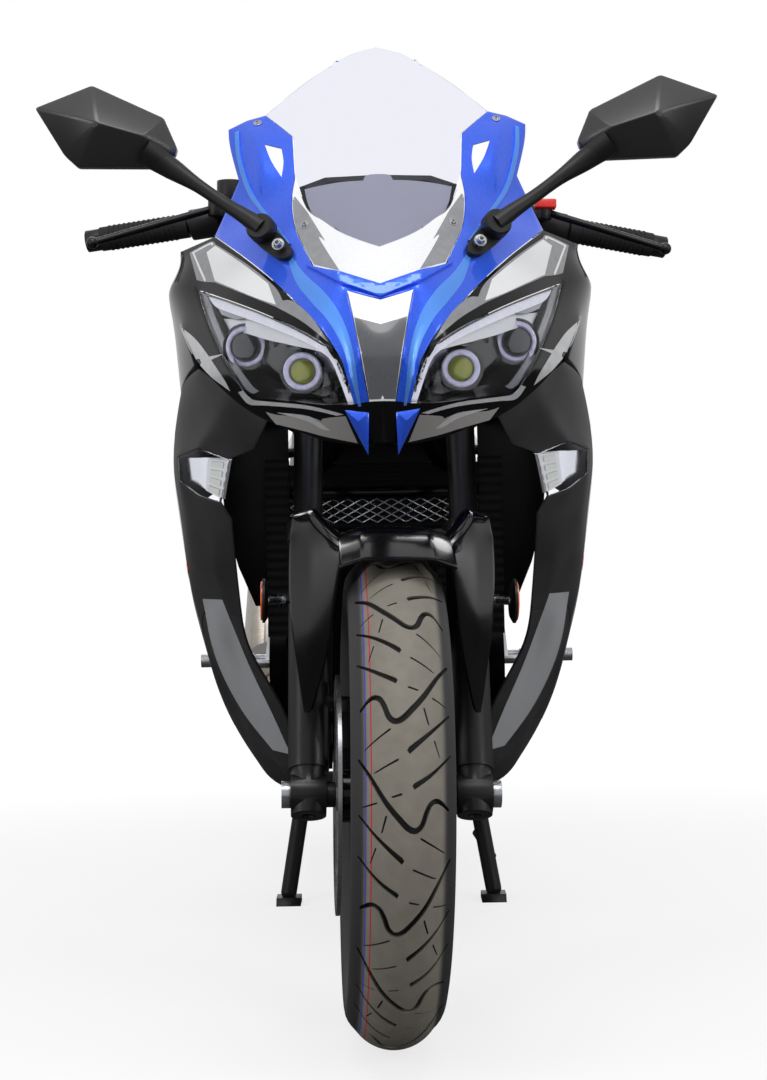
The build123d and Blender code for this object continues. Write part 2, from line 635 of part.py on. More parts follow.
# Headlamp cover: rows upper edge, middle and lower edge, columns from the outer corner in.
LENS = [[(226, 106, 908), (190, 42, 889), (152, -16, 869), (94, -86, 836), (55, -115, 809), WING_OUTER[10]],
        [(219, 84, 886), (192, 24, 850), (160, -26, 816), (101, -88, 796), (60, -113, 780), (35, -115, 757)],
        [(212, 66, 865), (186, 14, 808), (158, -18, 764), (100, -75, 754), (66, -97, 748), WING_OUTER[11]]]
BROW = [WING_OUTER[4:10], LENS[0]]
SIDE_TOP = (253, 174, 966)
SIDE_CORNER = (268, 180, 920)
JAW = [[LENS[0][0]] + LENS[2],
       [SIDE_CORNER, (249, 131, 868), (225, 81, 816), (160, -4, 750), (105, -54, 724), (68, -72, 709), (27, -83, 702)]]
CHIN = [[(0, -121, 749), WING_INNER[11], WING[11][1], WING_OUTER[11]],
        [(0, -88, 700), (10, -87, 700), (18, -85, 701), (27, -83, 702)]]
# Upper flank: rows from the top down, columns from the lamp back.
FLANK = [[SIDE_TOP, (252, 270, 925), (236, 380, 880), (208, 490, 845)],
         [SIDE_CORNER, (270, 270, 885), (256, 380, 845), (228, 500, 810)],
         [(249, 131, 868), (268, 250, 842), (262, 380, 800), (238, 520, 770)],
         [(228, 120, 812), (262, 240, 795), (264, 380, 755), (244, 535, 725)]]
TEMPLE = [[WING_OUTER[4], SIDE_TOP], [LENS[0][0], SIDE_CORNER]]
# Side fairing: rows from the top down, columns leading edge, nose face, outer edge, then back.
FLOW = [[(138, 20, 738), (182, 50, 775)] + FLANK[3],
        [(158, 85, 708), (205, 95, 742), (246, 165, 752), (272, 250, 745), (274, 390, 700), (254, 560, 670)],
        [(192, 110, 697), (232, 130, 713), (264, 182, 704), (276, 262, 700), (278, 395, 650), (258, 580, 610)],
        [(205, 130, 644), (233, 150, 654), (261, 182, 674), (274, 270, 665), (276, 400, 610), (256, 595, 560)],
        [(192, 140, 622), (222, 170, 610), (254, 210, 618), (268, 290, 605), (270, 410, 550), (252, 610, 500)],
        [(191, 185, 570), (220, 205, 560), (248, 245, 565), (262, 315, 545), (262, 425, 490), (246, 620, 440)],
        [(190, 245, 495), (205, 258, 500), (228, 272, 515), (250, 350, 490), (250, 445, 430), (236, 630, 380)],
        [(184, 300, 450), (205, 330, 455), (232, 340, 462), (244, 400, 440), (238, 480, 375), (222, 640, 330)],
        [(160, 342, 398), (188, 372, 400), (218, 385, 412), (228, 440, 388), (220, 515, 325), (204, 650, 285)],
        [(140, 378, 350), (168, 405, 345), (198, 430, 355), (202, 480, 325), (190, 550, 270), (176, 660, 245)],
        [(126, 425, 290), (138, 455, 272), (150, 478, 262), (150, 530, 245), (140, 590, 225), (130, 670, 215)]]
KEEL = [FLOW[10][2:], [(0, 480, 262), (0, 535, 240), (0, 595, 220), (0, 675, 210)]]

flow_cells = cells_of(FLOW)
FLOW_COLUMNS = len(FLOW[0]) - 1


def flow_band(first, last, skip=()):
    """The fairing's cells between two rows, without the ones to skip (row, column)."""
    return [flow_cells[row * FLOW_COLUMNS + column] for row in range(first, last)
            for column in range(FLOW_COLUMNS) if (row, column) not in skip]


SIGNAL_CELLS = [(2, 0), (2, 1)]


def nose_heart(middle):
    return (0, 400, 700)


nose = Skin({
    "windscreen": cells_of(SCREEN),
    "nose_shield": cells_of(SHIELD),
    "nose_centre": cells_of(CENTRE),
    "nose_cowl": cells_of(WING) + cells_of(CHEVRON),
    "headlight_lenses": cells_of(LENS),
    "upper_cowl": cells_of(BROW) + cells_of(JAW) + cells_of(CHIN) + cells_of(FLANK) + cells_of(TEMPLE),
    "side_fairings": flow_band(0, 6, SIGNAL_CELLS),
    "front_turn_signals": [flow_cells[row * FLOW_COLUMNS + column] for row, column in SIGNAL_CELLS],
    "lower_fairing": flow_band(6, 10) + cells_of(KEEL)}, PANEL, nose_heart)
panels = {name: nose.part(name) for name in nose.panels}
panels["headlight_lenses"] = panels["headlight_lenses"] - panels["nose_cowl"]
for name, shape in panels.items():
    if name != "front_turn_signals":
        save(shape, name)

# Lamps behind their covers


def pushed(point, depth):
    """A point of the lamp net moved in by the wall and then rearward."""
    inner = nose.inner(point)
    return (inner.X, inner.Y + depth, inner.Z)


LAMP_DEPTH = 46.0
bowl_rows = [[pushed(p, 1.0) for p in LENS[0]],
             [pushed(LENS[1][0], 8)] + [pushed(p, LAMP_DEPTH) for p in LENS[1][1:-2]]
             + [pushed(LENS[1][-2], 20), pushed(LENS[1][-1], 4)],
             [pushed(p, 1.0) for p in LENS[2]]]
bowl = Skin({"bowl": cells_of(bowl_rows)}, 3.0, nose_heart).part("bowl")
# Projectors: side, back of the front ring, up, barrel radius.
PROJECTORS = [(153, 16, 822, 24), (89, -58, 789, 21)]
for side, back, up, radius in PROJECTORS:
    barrel = rod((side, back, up), (side, back + 70, up), radius) \
        - rod((side, back - 1, up), (side, back + 12, up), radius - 4)
    glass = ball((side, back + 20, up), radius - 5) & rod((side, back, up), (side, back + 30, up), radius)
    bowl = bowl + both(barrel + glass)
bowl = bowl - panels["headlight_lenses"] - panels["upper_cowl"] - panels["nose_cowl"]
save(bowl, "headlamps")

# Mirrors: outline of the back in (side, up), and two ridge points (side, back, up).
MIRROR_BACK = 30.0
MIRROR_RIM = 18.0
MIRROR = [(341, 1146), (410, 1120), (376, 1063), (360, 1048), (272, 1046), (243, 1060), (240, 1069), (255, 1105)]
RIDGE = [(330, -10, 1092), (276, 4, 1078)]


def mirror_head():
    """A shell-like head: flat glass side to the rear, ridge to the front."""
    rear = [Vector(side, MIRROR_BACK + MIRROR_RIM, up) for side, up in MIRROR]
    rim_line = [Vector(side, MIRROR_BACK, up) for side, up in MIRROR]
    high, low = [Vector(*p) for p in RIDGE]
    count = len(MIRROR)
    triangles = []
    crest = {0: high, 1: high, 2: high, 3: high, 4: low, 5: low, 6: low, 7: low}
    for k in range(count):
        j = (k + 1) % count
        triangles += [[rear[k], rear[j], rim_line[j]], [rear[k], rim_line[j], rim_line[k]]]
        triangles.append([rim_line[k], rim_line[j], crest[k]])
        if crest[k] != crest[j]:
            triangles.append([rim_line[j], crest[j], crest[k]])
    triangles += [[rear[0], rear[k + 1], rear[k]] for k in range(1, count - 1)]
    return closed_solid(triangles)


STALK = [(262, 32, 1052), (216, 22, 1022), (166, 12, 986), (138, 6, 962)]
head = mirror_head() + chain_of_rods(STALK, 10.0) + cone((262, 32, 1050), (216, 22, 1022), 15, 11)
head = head + rod((142, -6, 958), (138, 26, 950), 19)
mirrors = both(head) - panels["nose_cowl"]
save(mirrors, "mirrors")
glass_line = [(side, up) for side, up in MIRROR]
middle_side = sum(side for side, up in MIRROR) / len(MIRROR)
middle_up = sum(up for side, up in MIRROR) / len(MIRROR)
GLASS_SHARE = 0.9
plate = [at(middle_side + (side - middle_side) * GLASS_SHARE, MIRROR_BACK + MIRROR_RIM,
            middle_up + (up - middle_up) * GLASS_SHARE) for side, up in glass_line]
save(both(Solid.extrude(Face(Wire.make_polygon(plate)), Vector(0, 2, 0))), "mirror_glasses")

# Instruments and the stay that carries the nose
PANEL_BACK = 150.0
dash = ribbed_body([
    (128, [(0, 1044), (60, 1042), (84, 1034), (84, 1016), (60, 1006), (0, 1002)]),
    (140, [(0, 1052), (66, 1050), (94, 1040), (94, 1014), (66, 1000), (0, 996)]),
    (158, [(0, 1050), (66, 1048), (92, 1038), (92, 1012), (64, 998), (0, 994)])])
save(dash, "instrument_panel")
HEAD_LOW = LOWER_YOKE + YOKE_THICK + 4
HEAD_HIGH = UPPER_YOKE - 4
head_tube = rod(steer_point(HEAD_LOW), steer_point(HEAD_HIGH), HEAD_TUBE_R)
nose_stay = beam((0, 300, 856), (0, 60, 940), 30, 20)
nose_stay = nose_stay + beam((0, 70, 930), (0, 135, 1004), 26, 14)
nose_stay = nose_stay + beam((-128, 30, 930), (128, 30, 930), 18, 18)
nose_stay = nose_stay + both(beam((118, 30, 930), (118, -34, 870), 16, 14))
nose_stay = nose_stay + both(beam((118, -30, 878), (118, -6, 826), 16, 14))
nose_stay = nose_stay + both(beam((60, 30, 930), (60, -40, 800), 14, 12))
for cut in (dash, bowl, mirrors, panels["nose_cowl"], panels["upper_cowl"], panels["nose_shield"], panels["headlight_lenses"]):
    nose_stay = nose_stay - cut

# Frame
frame = head_tube
frame = frame + both(beam((26, 312, 856), (112, 452, 742), 30, 58))
frame = frame + both(beam((112, 440, 744), (134, 770, 690), 26, 56))
frame = frame + both(beam((24, 296, 820), (120, 470, 640), 24, 30))
frame = frame + both(beam((134, 750, 700), (PLATE_SIDE + 10, 856, 560), 26, 50))
plate_outline = [(812, 600), (880, 610), (925, 500), (935, 330), (922, 262), (868, 262), (850, 330), (850, 460), (820, 540)]
frame = frame + both(prism(plate_outline, PLATE_SIDE, PLATE_SIDE + PLATE_THICK))
frame = frame + rod((-PLATE_SIDE - 2, 852, 580), (PLATE_SIDE + 2, 852, 580), 16)
frame = frame + rod((-PLATE_SIDE - 2, 872, 300), (PLATE_SIDE + 2, 872, 300), 11)
frame = frame + rod((-112, 474, 740), (112, 474, 740), 14)
TANK_REST = 785.7
frame = frame + both(prism([(460, 740), (488, 740), (488, TANK_REST), (460, TANK_REST)], 84, 104))
frame = frame + both(prism([(768, 680), (800, 650), (800, TANK_REST), (776, TANK_REST)], 88, 112))
frame = frame + rod((-134, 784, 690), (134, 784, 690), 13)
pivot_hole = rod((-260, PIVOT_BACK, PIVOT_UP), (260, PIVOT_BACK, PIVOT_UP), PIVOT_R - 8)
head_hole = rod(steer_point(LOWER_YOKE - 20), steer_point(UPPER_YOKE + 60), STEM_R + HEAD_CLEAR)


def inside_of(shape, wall):
    """The piece of a shape that stays on the inner side of a wall."""
    pieces = (shape - wall).solids()
    return min(pieces, key=lambda piece: abs(piece.center().X))


# Fairing stays: start on the frame, end beyond the wall, wall's name
STAYS = [((118, 500, 725), (290, 500, 690), "side_fairings"),
         ((112, 436, 748), (300, 330, 850), "upper_cowl")]
for start, end, wall in STAYS:
    frame = frame + both(inside_of(rod(start, end, 7), panels[wall]))
frame = frame - pivot_hole - head_hole
save(frame, "main_frame")
save(nose_stay - rod(steer_point(LOWER_YOKE - 20), steer_point(UPPER_YOKE + 60), HEAD_TUBE_R), "nose_stay")

# Rear suspension
arm_tip = WHEELBASE + 34
arm = prism([(PIVOT_BACK - 26, PIVOT_UP + 22), (PIVOT_BACK + 20, PIVOT_UP + 36), (WHEELBASE - 60, REAR_AXLE_UP + 30),
             (arm_tip, REAR_AXLE_UP + 20), (arm_tip, REAR_AXLE_UP - 20), (WHEELBASE - 60, REAR_AXLE_UP - 28),
             (PIVOT_BACK + 20, PIVOT_UP - 34), (PIVOT_BACK - 26, PIVOT_UP - 22)],
            SWINGARM_SIDE - SWINGARM_WIDTH / 2, SWINGARM_SIDE + SWINGARM_WIDTH / 2)
swingarm = both(arm) + rod((-PLATE_SIDE + 0.5, PIVOT_BACK, PIVOT_UP), (PLATE_SIDE - 0.5, PIVOT_BACK, PIVOT_UP), PIVOT_R)
swingarm = swingarm + prism([(950, 376), (1040, 366), (1040, 404), (950, 420)], -SWINGARM_SIDE, SWINGARM_SIDE)
swingarm = swingarm - rod((-260, WHEELBASE, REAR_AXLE_UP), (260, WHEELBASE, REAR_AXLE_UP), AXLE_R)
swingarm = swingarm - rod((-260, PIVOT_BACK, PIVOT_UP), (260, PIVOT_BACK, PIVOT_UP), PIVOT_R - 8)
SPOOL_BACK = WHEELBASE - 70
SPOOL_OUT = SWINGARM_SIDE + SWINGARM_WIDTH / 2
for spool_side in (-1, 1):
    boss = rod((spool_side * (SPOOL_OUT - 1), SPOOL_BACK, REAR_AXLE_UP), (spool_side * (SPOOL_OUT + 8), SPOOL_BACK, REAR_AXLE_UP), 13)
    hole = rod((spool_side * (SPOOL_OUT + 8 - SPOOL_DEPTH), SPOOL_BACK, REAR_AXLE_UP),
               (spool_side * (SPOOL_OUT + 8), SPOOL_BACK, REAR_AXLE_UP), SPOOL_BORE_R)
    swingarm = swingarm + boss - hole
save(swingarm, "swingarm")
pivot_bolt = rod((-PLATE_SIDE - PLATE_THICK, PIVOT_BACK, PIVOT_UP), (PLATE_SIDE + PLATE_THICK, PIVOT_BACK, PIVOT_UP), PIVOT_R - 8.3)
pivot_bolt = pivot_bolt + both(rod((PLATE_SIDE + PLATE_THICK, PIVOT_BACK, PIVOT_UP), (PLATE_SIDE + PLATE_THICK + 8, PIVOT_BACK, PIVOT_UP), 18))
REAR_AXLE_REACH = SPOOL_OUT
rear_axle = rod((-REAR_AXLE_REACH, WHEELBASE, REAR_AXLE_UP), (REAR_AXLE_REACH, WHEELBASE, REAR_AXLE_UP), AXLE_R - 0.3)
rear_axle = rear_axle + both(rod((REAR_AXLE_REACH, WHEELBASE, REAR_AXLE_UP), (REAR_AXLE_REACH + 12, WHEELBASE, REAR_AXLE_UP), AXLE_NUT_R))
REAR_SPACER_IN = REAR_HUB + SPROCKET_THICK + 0.5
rear_spacer = rod((REAR_SPACER_IN, WHEELBASE, REAR_AXLE_UP), (SWINGARM_SIDE - SWINGARM_WIDTH / 2, WHEELBASE, REAR_AXLE_UP), 16) \
    - rod((-260, WHEELBASE, REAR_AXLE_UP), (260, WHEELBASE, REAR_AXLE_UP), AXLE_R)
save(Compound([rear_axle, rear_spacer, mirrored(rear_spacer), pivot_bolt]), "axle_and_pivot_bolts")

SHOCK_FOOT = (0, 985, 420)
SHOCK_HEAD = (0, 868, 600)
shock = rod(SHOCK_FOOT, SHOCK_HEAD, 13)
shock_run = Vector(*SHOCK_HEAD) - Vector(*SHOCK_FOOT)
COILS = 6
for turn in range(COILS):
    middle = Vector(*SHOCK_FOOT) + shock_run * (0.2 + 0.1 * turn)
    plane = Plane(origin=at(*middle), z_dir=Vector(*shock_run))
    shock = shock + Solid.make_torus(27, 6, plane) + Solid.make_cylinder(27, 5, plane)
shock = shock + rod((-14, *SHOCK_FOOT[1:]), (14, *SHOCK_FOOT[1:]), 18) + rod((-14, *SHOCK_HEAD[1:]), (14, *SHOCK_HEAD[1:]), 18)
save(shock - swingarm - frame, "rear_shock")

# Chain and its guard
CHAIN_INSIDE = SPROCKET_R + CHAIN_CLEAR
DRIVE_BACK = 800.0
DRIVE_UP = 404.0
CHAIN_SIDE = REAR_HUB + SPROCKET_THICK / 2


def belt(radius_rear, radius_front):
    """The outline of a taut loop round both sprockets, as a face across X."""
    run = hypot(WHEELBASE - DRIVE_BACK, DRIVE_UP - REAR_AXLE_UP)
    slope = atan2(DRIVE_UP - REAR_AXLE_UP, DRIVE_BACK - WHEELBASE)
    lean = asin((radius_rear - radius_front) / run)
    front = at(CHAIN_SIDE - CHAIN_WIDTH / 2, DRIVE_BACK, DRIVE_UP)
    rear = at(CHAIN_SIDE - CHAIN_WIDTH / 2, WHEELBASE, REAR_AXLE_UP)

    def spot(centre, radius, angle):
        return centre + Vector(0, radius * cos(angle), radius * sin(angle))

    high, low = slope - pi / 2 + lean, slope + pi / 2 - lean
    edges = [Edge.make_line(spot(rear, radius_rear, high), spot(front, radius_front, high)),
             Edge.make_three_point_arc(spot(front, radius_front, high), spot(front, radius_front, slope),
                                       spot(front, radius_front, low)),
             Edge.make_line(spot(front, radius_front, low), spot(rear, radius_rear, low)),
             Edge.make_three_point_arc(spot(rear, radius_rear, low), spot(rear, radius_rear, slope + pi),
                                       spot(rear, radius_rear, high))]
    return Face(Wire(edges))


chain_across = Vector(CHAIN_WIDTH, 0, 0)
chain = Solid.extrude(belt(CHAIN_INSIDE + CHAIN_HEIGHT, DRIVE_SPROCKET_R + CHAIN_HEIGHT), chain_across)
chain = chain - Solid.extrude(belt(CHAIN_INSIDE, DRIVE_SPROCKET_R), chain_across)
save(chain, "drive_chain")
GUARD_UP = 464.0
chain_guard = prism([(940, GUARD_UP), (1370, GUARD_UP), (1370, GUARD_UP + 6), (940, GUARD_UP + 6)], 84, SWINGARM_SIDE - 4)
for back in (960, 1250):
    chain_guard = chain_guard + prism([(back - 9, 392), (back + 9, 392), (back + 9, GUARD_UP), (back - 9, GUARD_UP)],
                                      SWINGARM_SIDE - 10, SWINGARM_SIDE - 4)
save(chain_guard - swingarm, "chain_guard")

# Engine and radiator
crankcase = prism([(500, 360), (560, 296), (740, 292), (836, 320), (836, 470), (760, 522), (500, 522)],
                  -ENGINE_HALF, ENGINE_HALF)
cylinder = prism([(500, 520), (478, 676), (500, 700), (640, 712), (664, 690), (670, 520)], -CYLINDER_HALF, CYLINDER_HALF)
covers = both(rod((ENGINE_HALF, 600, 400), (ENGINE_HALF + 26, 600, 400), 78))
covers = covers + both(rod((ENGINE_HALF, 742, 384), (ENGINE_HALF + 20, 742, 384), 62))
pocket = Solid.extrude(belt(CHAIN_INSIDE + CHAIN_HEIGHT + 4, DRIVE_SPROCKET_R + CHAIN_HEIGHT + 4), chain_across)
engine = crankcase + cylinder - pocket + covers
engine = engine + rod((CHAIN_SIDE - CHAIN_WIDTH, DRIVE_BACK, DRIVE_UP), (CHAIN_SIDE + CHAIN_WIDTH, DRIVE_BACK, DRIVE_UP),
                      DRIVE_SPROCKET_R - CHAIN_CLEAR) - frame
lower_stay = rod((ENGINE_HALF - 5, 600, 318), (290, 600, 318), 7)
engine = engine + both(inside_of(lower_stay, panels["lower_fairing"]))
save(engine, "engine")

RADIATOR_BACK = 402.0
radiator = prism([(RADIATOR_BACK, 470), (RADIATOR_BACK, 700), (RADIATOR_BACK + 28, 700), (RADIATOR_BACK + 28, 470)], -132, 132)
SLAT_PITCH = 18.0
SLAT_DEPTH = 5.0
SLATS = 11
for k in range(SLATS):
    slat_up = 488 + SLAT_PITCH * k
    radiator = radiator + prism([(RADIATOR_BACK - SLAT_DEPTH, slat_up), (RADIATOR_BACK, slat_up),
                                 (RADIATOR_BACK, slat_up + 4), (RADIATOR_BACK - SLAT_DEPTH, slat_up + 4)], -132, 132)
tanks = both(prism([(RADIATOR_BACK - 6, 462), (RADIATOR_BACK - 6, 708), (RADIATOR_BACK + 34, 708), (RADIATOR_BACK + 34, 462)], 132, 164))
hoses = both(rod((148, RADIATOR_BACK + 30, 500), (148, 505, 500), 14))
save(radiator + tanks + (hoses - engine) - frame, "radiator")

# Rear caliper outlines: behind and above the rear axle.
CALIPER_BODY = [(-100, 68), (-84, 112), (-50, 128), (-34, 102), (-50, 62), (-90, 50)]
CALIPER_FOOT = [(-90, 28), (-50, 28), (-50, 66), (-90, 66)]


def by_rear_axle(outline):
    return [(WHEELBASE + back, REAR_AXLE_UP + up) for back, up in outline]


rear_caliper = prism(by_rear_axle(CALIPER_BODY), REAR_DISC_X - 16, REAR_DISC_X + 16)
rear_caliper = rear_caliper + prism(by_rear_axle(CALIPER_FOOT), -SWINGARM_SIDE, REAR_DISC_X - 8)
rear_slot = rod((REAR_DISC_X - slot_half, WHEELBASE, REAR_AXLE_UP), (REAR_DISC_X + slot_half, WHEELBASE, REAR_AXLE_UP),
                REAR_DISC_R + 3)
save(rear_caliper - rear_slot - swingarm, "rear_caliper")

# Tank, filler and cap: half outlines (side, up) at each distance back
TANK_FLOOR = 786.0
TANK_RISE = 214.0
# Rows: distance back, then side and height over the floor, drawn for a filler TANK_RISE above the floor.
TANK = [(432, [(0, 126), (52, 122), (84, 94), (92, 54), (70, 0), (0, 0)]),
        (480, [(0, 182), (70, 174), (108, 128), (118, 70), (84, 0), (0, 0)]),
        (545, [(0, 214), (84, 204), (138, 154), (150, 82), (100, 0), (0, 0)]),
        (655, [(0, 214), (90, 204), (152, 152), (164, 82), (108, 0), (0, 0)]),
        (740, [(0, 176), (80, 168), (132, 124), (142, 70), (100, 0), (0, 0)]),
        (800, [(0, 108), (62, 104), (100, 78), (112, 48), (88, 0), (0, 0)]),
        (841, [(0, 60), (48, 58), (80, 44), (90, 26), (72, 0), (0, 0)])]
tank_scale = (FILLER_UP - TANK_FLOOR) / TANK_RISE
tank = ribbed_body([(back, [(side, TANK_FLOOR + rise * tank_scale) for side, rise in half]) for back, half in TANK])
collar = rod((0, FILLER_BACK, FILLER_UP - 8), (0, FILLER_BACK, FILLER_UP + 4), CAP_R + 4)
tank = tank + collar - rod((0, FILLER_BACK, FILLER_UP + 4 - FILLER_DEPTH), (0, FILLER_BACK, FILLER_UP + 10), FILLER_R)
CAP_BASE = FILLER_UP + 4.3
HINGE_BACK = FILLER_BACK - CAP_R - 8
HINGE_UP = CAP_BASE + CAP_THICK / 2
hinge_ears = both(prism([(HINGE_BACK - 7, FILLER_UP - 6), (HINGE_BACK + 7, FILLER_UP - 6), (HINGE_BACK + 5, HINGE_UP + 6),
                         (HINGE_BACK - 5, HINGE_UP + 6)], 11, 16))
save(tank + hinge_ears, "fuel_tank")
cap = rod((0, FILLER_BACK, CAP_BASE), (0, FILLER_BACK, CAP_BASE + CAP_THICK), CAP_R)
cap = cap + prism([(HINGE_BACK - 5, HINGE_UP - 5), (HINGE_BACK + 16, HINGE_UP - 5), (HINGE_BACK + 16, HINGE_UP + 5),
                   (HINGE_BACK - 5, HINGE_UP + 5)], -10, 10)
save(cap, "fuel_cap")

# Tail: back, seat line up, seat side, widest side, its height, lower edge side, its height
TAIL = [(842, 776, 96, 128, 742, 118, 706),
        (930, 778, 112, 150, 744, 132, 700),
        (1030, 790, 122, 164, 752, 140, 700),
        (1140, 826, 120, 162, 778, 134, 722),
        (1260, 866, 112, 150, 812, 118, 756),
        (1380, 896, 98, 128, 846, 96, 790),
        (1500, 918, 76, 98, 876, 74, 826),
        (1600, 930, 54, 68, 898, 54, 858)]
FLANGE = 24
tail_rows = [[(side - FLANGE, back, up) for back, up, side, *_ in TAIL],
             [(side, back, up) for back, up, side, *_ in TAIL],
             [(wide, back, wide_up) for back, _, _, wide, wide_up, *_ in TAIL],
             [(low, back, low_up) for back, *_, low, low_up in TAIL]]
rear_deck = [[(0, 1500, 930), tail_rows[0][-2]], [(0, 1600, 944), tail_rows[0][-1]]]


def tail_heart(middle):
    return (0, middle.Y, 745 + 0.18 * (middle.Y - 850))


tail = Skin({"tail": cells_of(tail_rows) + cells_of(rear_deck)}, PANEL, tail_heart).part("tail")
save(tail, "tail_cowl")


def seat_line(back):
    """Height of the tail's flange at a distance back."""
    for near, far in zip(TAIL, TAIL[1:]):
        if near[0] <= back <= far[0]:
            return near[1] + (far[1] - near[1]) * (back - near[0]) / (far[0] - near[0])


SEAT_GAP = 0.4
# Cushion stations: back, crown height over the seat line, shoulder share of the width, half width
RIDER_SEAT = [(842, 62, 0.66, 88), (930, 34, 0.8, 108), (1030, 34, 0.84, 120), (1128, 66, 0.8, 112)]
PILLION_SEAT = [(1140, 58, 0.78, 106), (1260, 50, 0.82, 106), (1380, 40, 0.82, 92), (1496, 20, 0.8, 70)]
seats = []
for stations in (RIDER_SEAT, PILLION_SEAT):
    rings = []
    for back, crown, share, half in stations:
        base = seat_line(back) + SEAT_GAP
        rings.append((back, [(0, base + crown), (half * share, base + crown - 7), (half, base + crown * 0.5),
                             (half - 2, base), (0, base)]))
    seats.append(ribbed_body(rings))
save(seats[0], "rider_seat")
save(seats[1], "pillion_seat")

# Subframe under the tail's flange
rail_drop = PANEL + RAIL_R + 0.4
rail = [(side - 20, back, up - rail_drop) for back, up, side, *_ in TAIL[:-1]]
subframe = chain_of_rods([(112, 790, 700)] + rail, RAIL_R) + rod((138, 884, 596), (100, 1110, 786), RAIL_R)
subframe = both(subframe)
for back in (930, 1260, 1496):
    level = seat_line(back) - rail_drop
    subframe = subframe + rod((-90 if back < 1400 else -56, back, level), (90 if back < 1400 else 56, back, level), 9)
TRAY = [(1110, 712), (1300, 752), (1480, 800), (1600, 850), (1604, 842), (1500, 788), (1310, 742), (1112, 702)]
subframe = subframe + both(rod((44, 1496, 902), (44, 1486, 798), 7))
subframe = subframe + both(rod((80, 1262, 850), (48, 1262, 742), 7))
undertray = prism(TRAY, -52, 52)
HOLDER = [(1560, 824), (1600, 842), (1650, 760), (1686, 640), (1678, 640), (1640, 756), (1592, 832), (1560, 818)]
holder = prism(HOLDER, -26, 26)
plate_run = Vector(0, 1686 - 1650, 640 - 760).normalized()
plate_out = Vector(0, 120, 36).normalized()
low = Vector(0, 1650, 760) + plate_run * 8 + plate_out * 0.3
PLATE_DROP = 124.0
PLATE_HALF = 95.0
corner_points = [low, low + plate_run * PLATE_DROP, low + plate_run * PLATE_DROP + plate_out * 2, low + plate_out * 2]
number_plate = prism([(p.Y, p.Z) for p in corner_points], -PLATE_HALF, PLATE_HALF)
subframe = subframe - frame - (undertray + holder) - tail
save(subframe, "subframe")
save(undertray + holder - tail, "rear_mudguard")
save(number_plate, "number_plate")
lamp = prism([(1600.3, 868), (1600.3, 926), (1616, 922), (1626, 884), (1618, 868)], -50, 50)
save(lamp - tail - undertray - holder, "tail_light")
rear_signal = rod((26, 1620, 802), (66, 1620, 802), 7) + prism([(1604, 788), (1604, 814), (1622, 818), (1638, 802), (1626, 788)], 62, 120)
save(Compound([panels["front_turn_signals"], both(rear_signal - holder)]), "turn_signals")

# Exhaust: pipe down ahead of the engine, under it and out to the right, then the silencer
PIPE_R = 17.0
PIPE = [(-40, 482, 636), (-40, 455, 590), (-40, 456, 400), (-40, 530, 272), (-40, 670, 268), (-190, 810, 268), (-190, 900, 300),
        (-198, 1044, 350)]
SILENCER_END = (-213, 1480, 505)
SILENCER_R = 54.0
route = FilletPolyline(*[at(*p) for p in PIPE], radius=[26, 60, 60, 60, 60, 50])
pipe = sweep(Plane(origin=route @ 0, z_dir=route % 0) * Circle(PIPE_R), path=route)
pipe_end = PIPE[-1]
cone_end = along_line(pipe_end, SILENCER_END, 60)
silencer = cone(pipe_end, cone_end, PIPE_R + 2, SILENCER_R) + rod(cone_end, SILENCER_END, SILENCER_R)
outlet = rod(along_line(SILENCER_END, pipe_end, 30), along_line(pipe_end, SILENCER_END, 480), 24)
silencer = silencer + outlet - rod(along_line(SILENCER_END, pipe_end, -40), along_line(SILENCER_END, pipe_end, 60), 20)
REST_OUT = PLATE_SIDE + PLATE_THICK + 9
strap = prism([(1026, 386), (1034, 384), (1080, 376), (1080, 408), (1026, 406)], -REST_OUT - 7, -REST_OUT - 0.3)
exhaust = pipe + (silencer + strap)
save(exhaust - engine, "exhaust")

# Footrests on hangers
hanger = prism([(876, 480), (912, 492), (1030, 412), (1034, 380), (1000, 376), (920, 420), (880, 430)],
               PLATE_SIDE + PLATE_THICK + 0.2, REST_OUT)
peg = rod((PLATE_SIDE + PLATE_THICK + 2, 1015, 394), (226, 1015, 394), 9) + rod((226, 1015, 394), (316, 1015, 394), 11.5)
# Toe lever: gear change on the left, brake on the right.
TOE_PIVOT = (925.0, 450.0)
TOE_TIP = (835.0, 398.0)
TOE_PEG = 40.0
arm_side = REST_OUT + 12
toe = rod((REST_OUT - 1, *TOE_PIVOT), (arm_side + 5, *TOE_PIVOT), 9)
toe = toe + beam((arm_side, *TOE_PIVOT), (arm_side, *TOE_TIP), 9, 12)
toe = toe + rod((arm_side - 4, *TOE_TIP), (arm_side + TOE_PEG, *TOE_TIP), 7)
rests = hanger + peg + toe - rod((160, PIVOT_BACK, PIVOT_UP), (200, PIVOT_BACK, PIVOT_UP), 19)
pillion_hanger = prism([(950, 646), (975, 690), (1006, 668), (1096, 524), (1090, 506), (1072, 506)], 122, 134)
pillion_peg = rod((128, 1084, 516), (236, 1084, 516), 10)
pillion_rest = pillion_hanger + pillion_peg - subframe
pillion_rest = max(pillion_rest.solids(), key=lambda piece: piece.volume)
save(both(Compound([rests, pillion_rest])), "footrests")

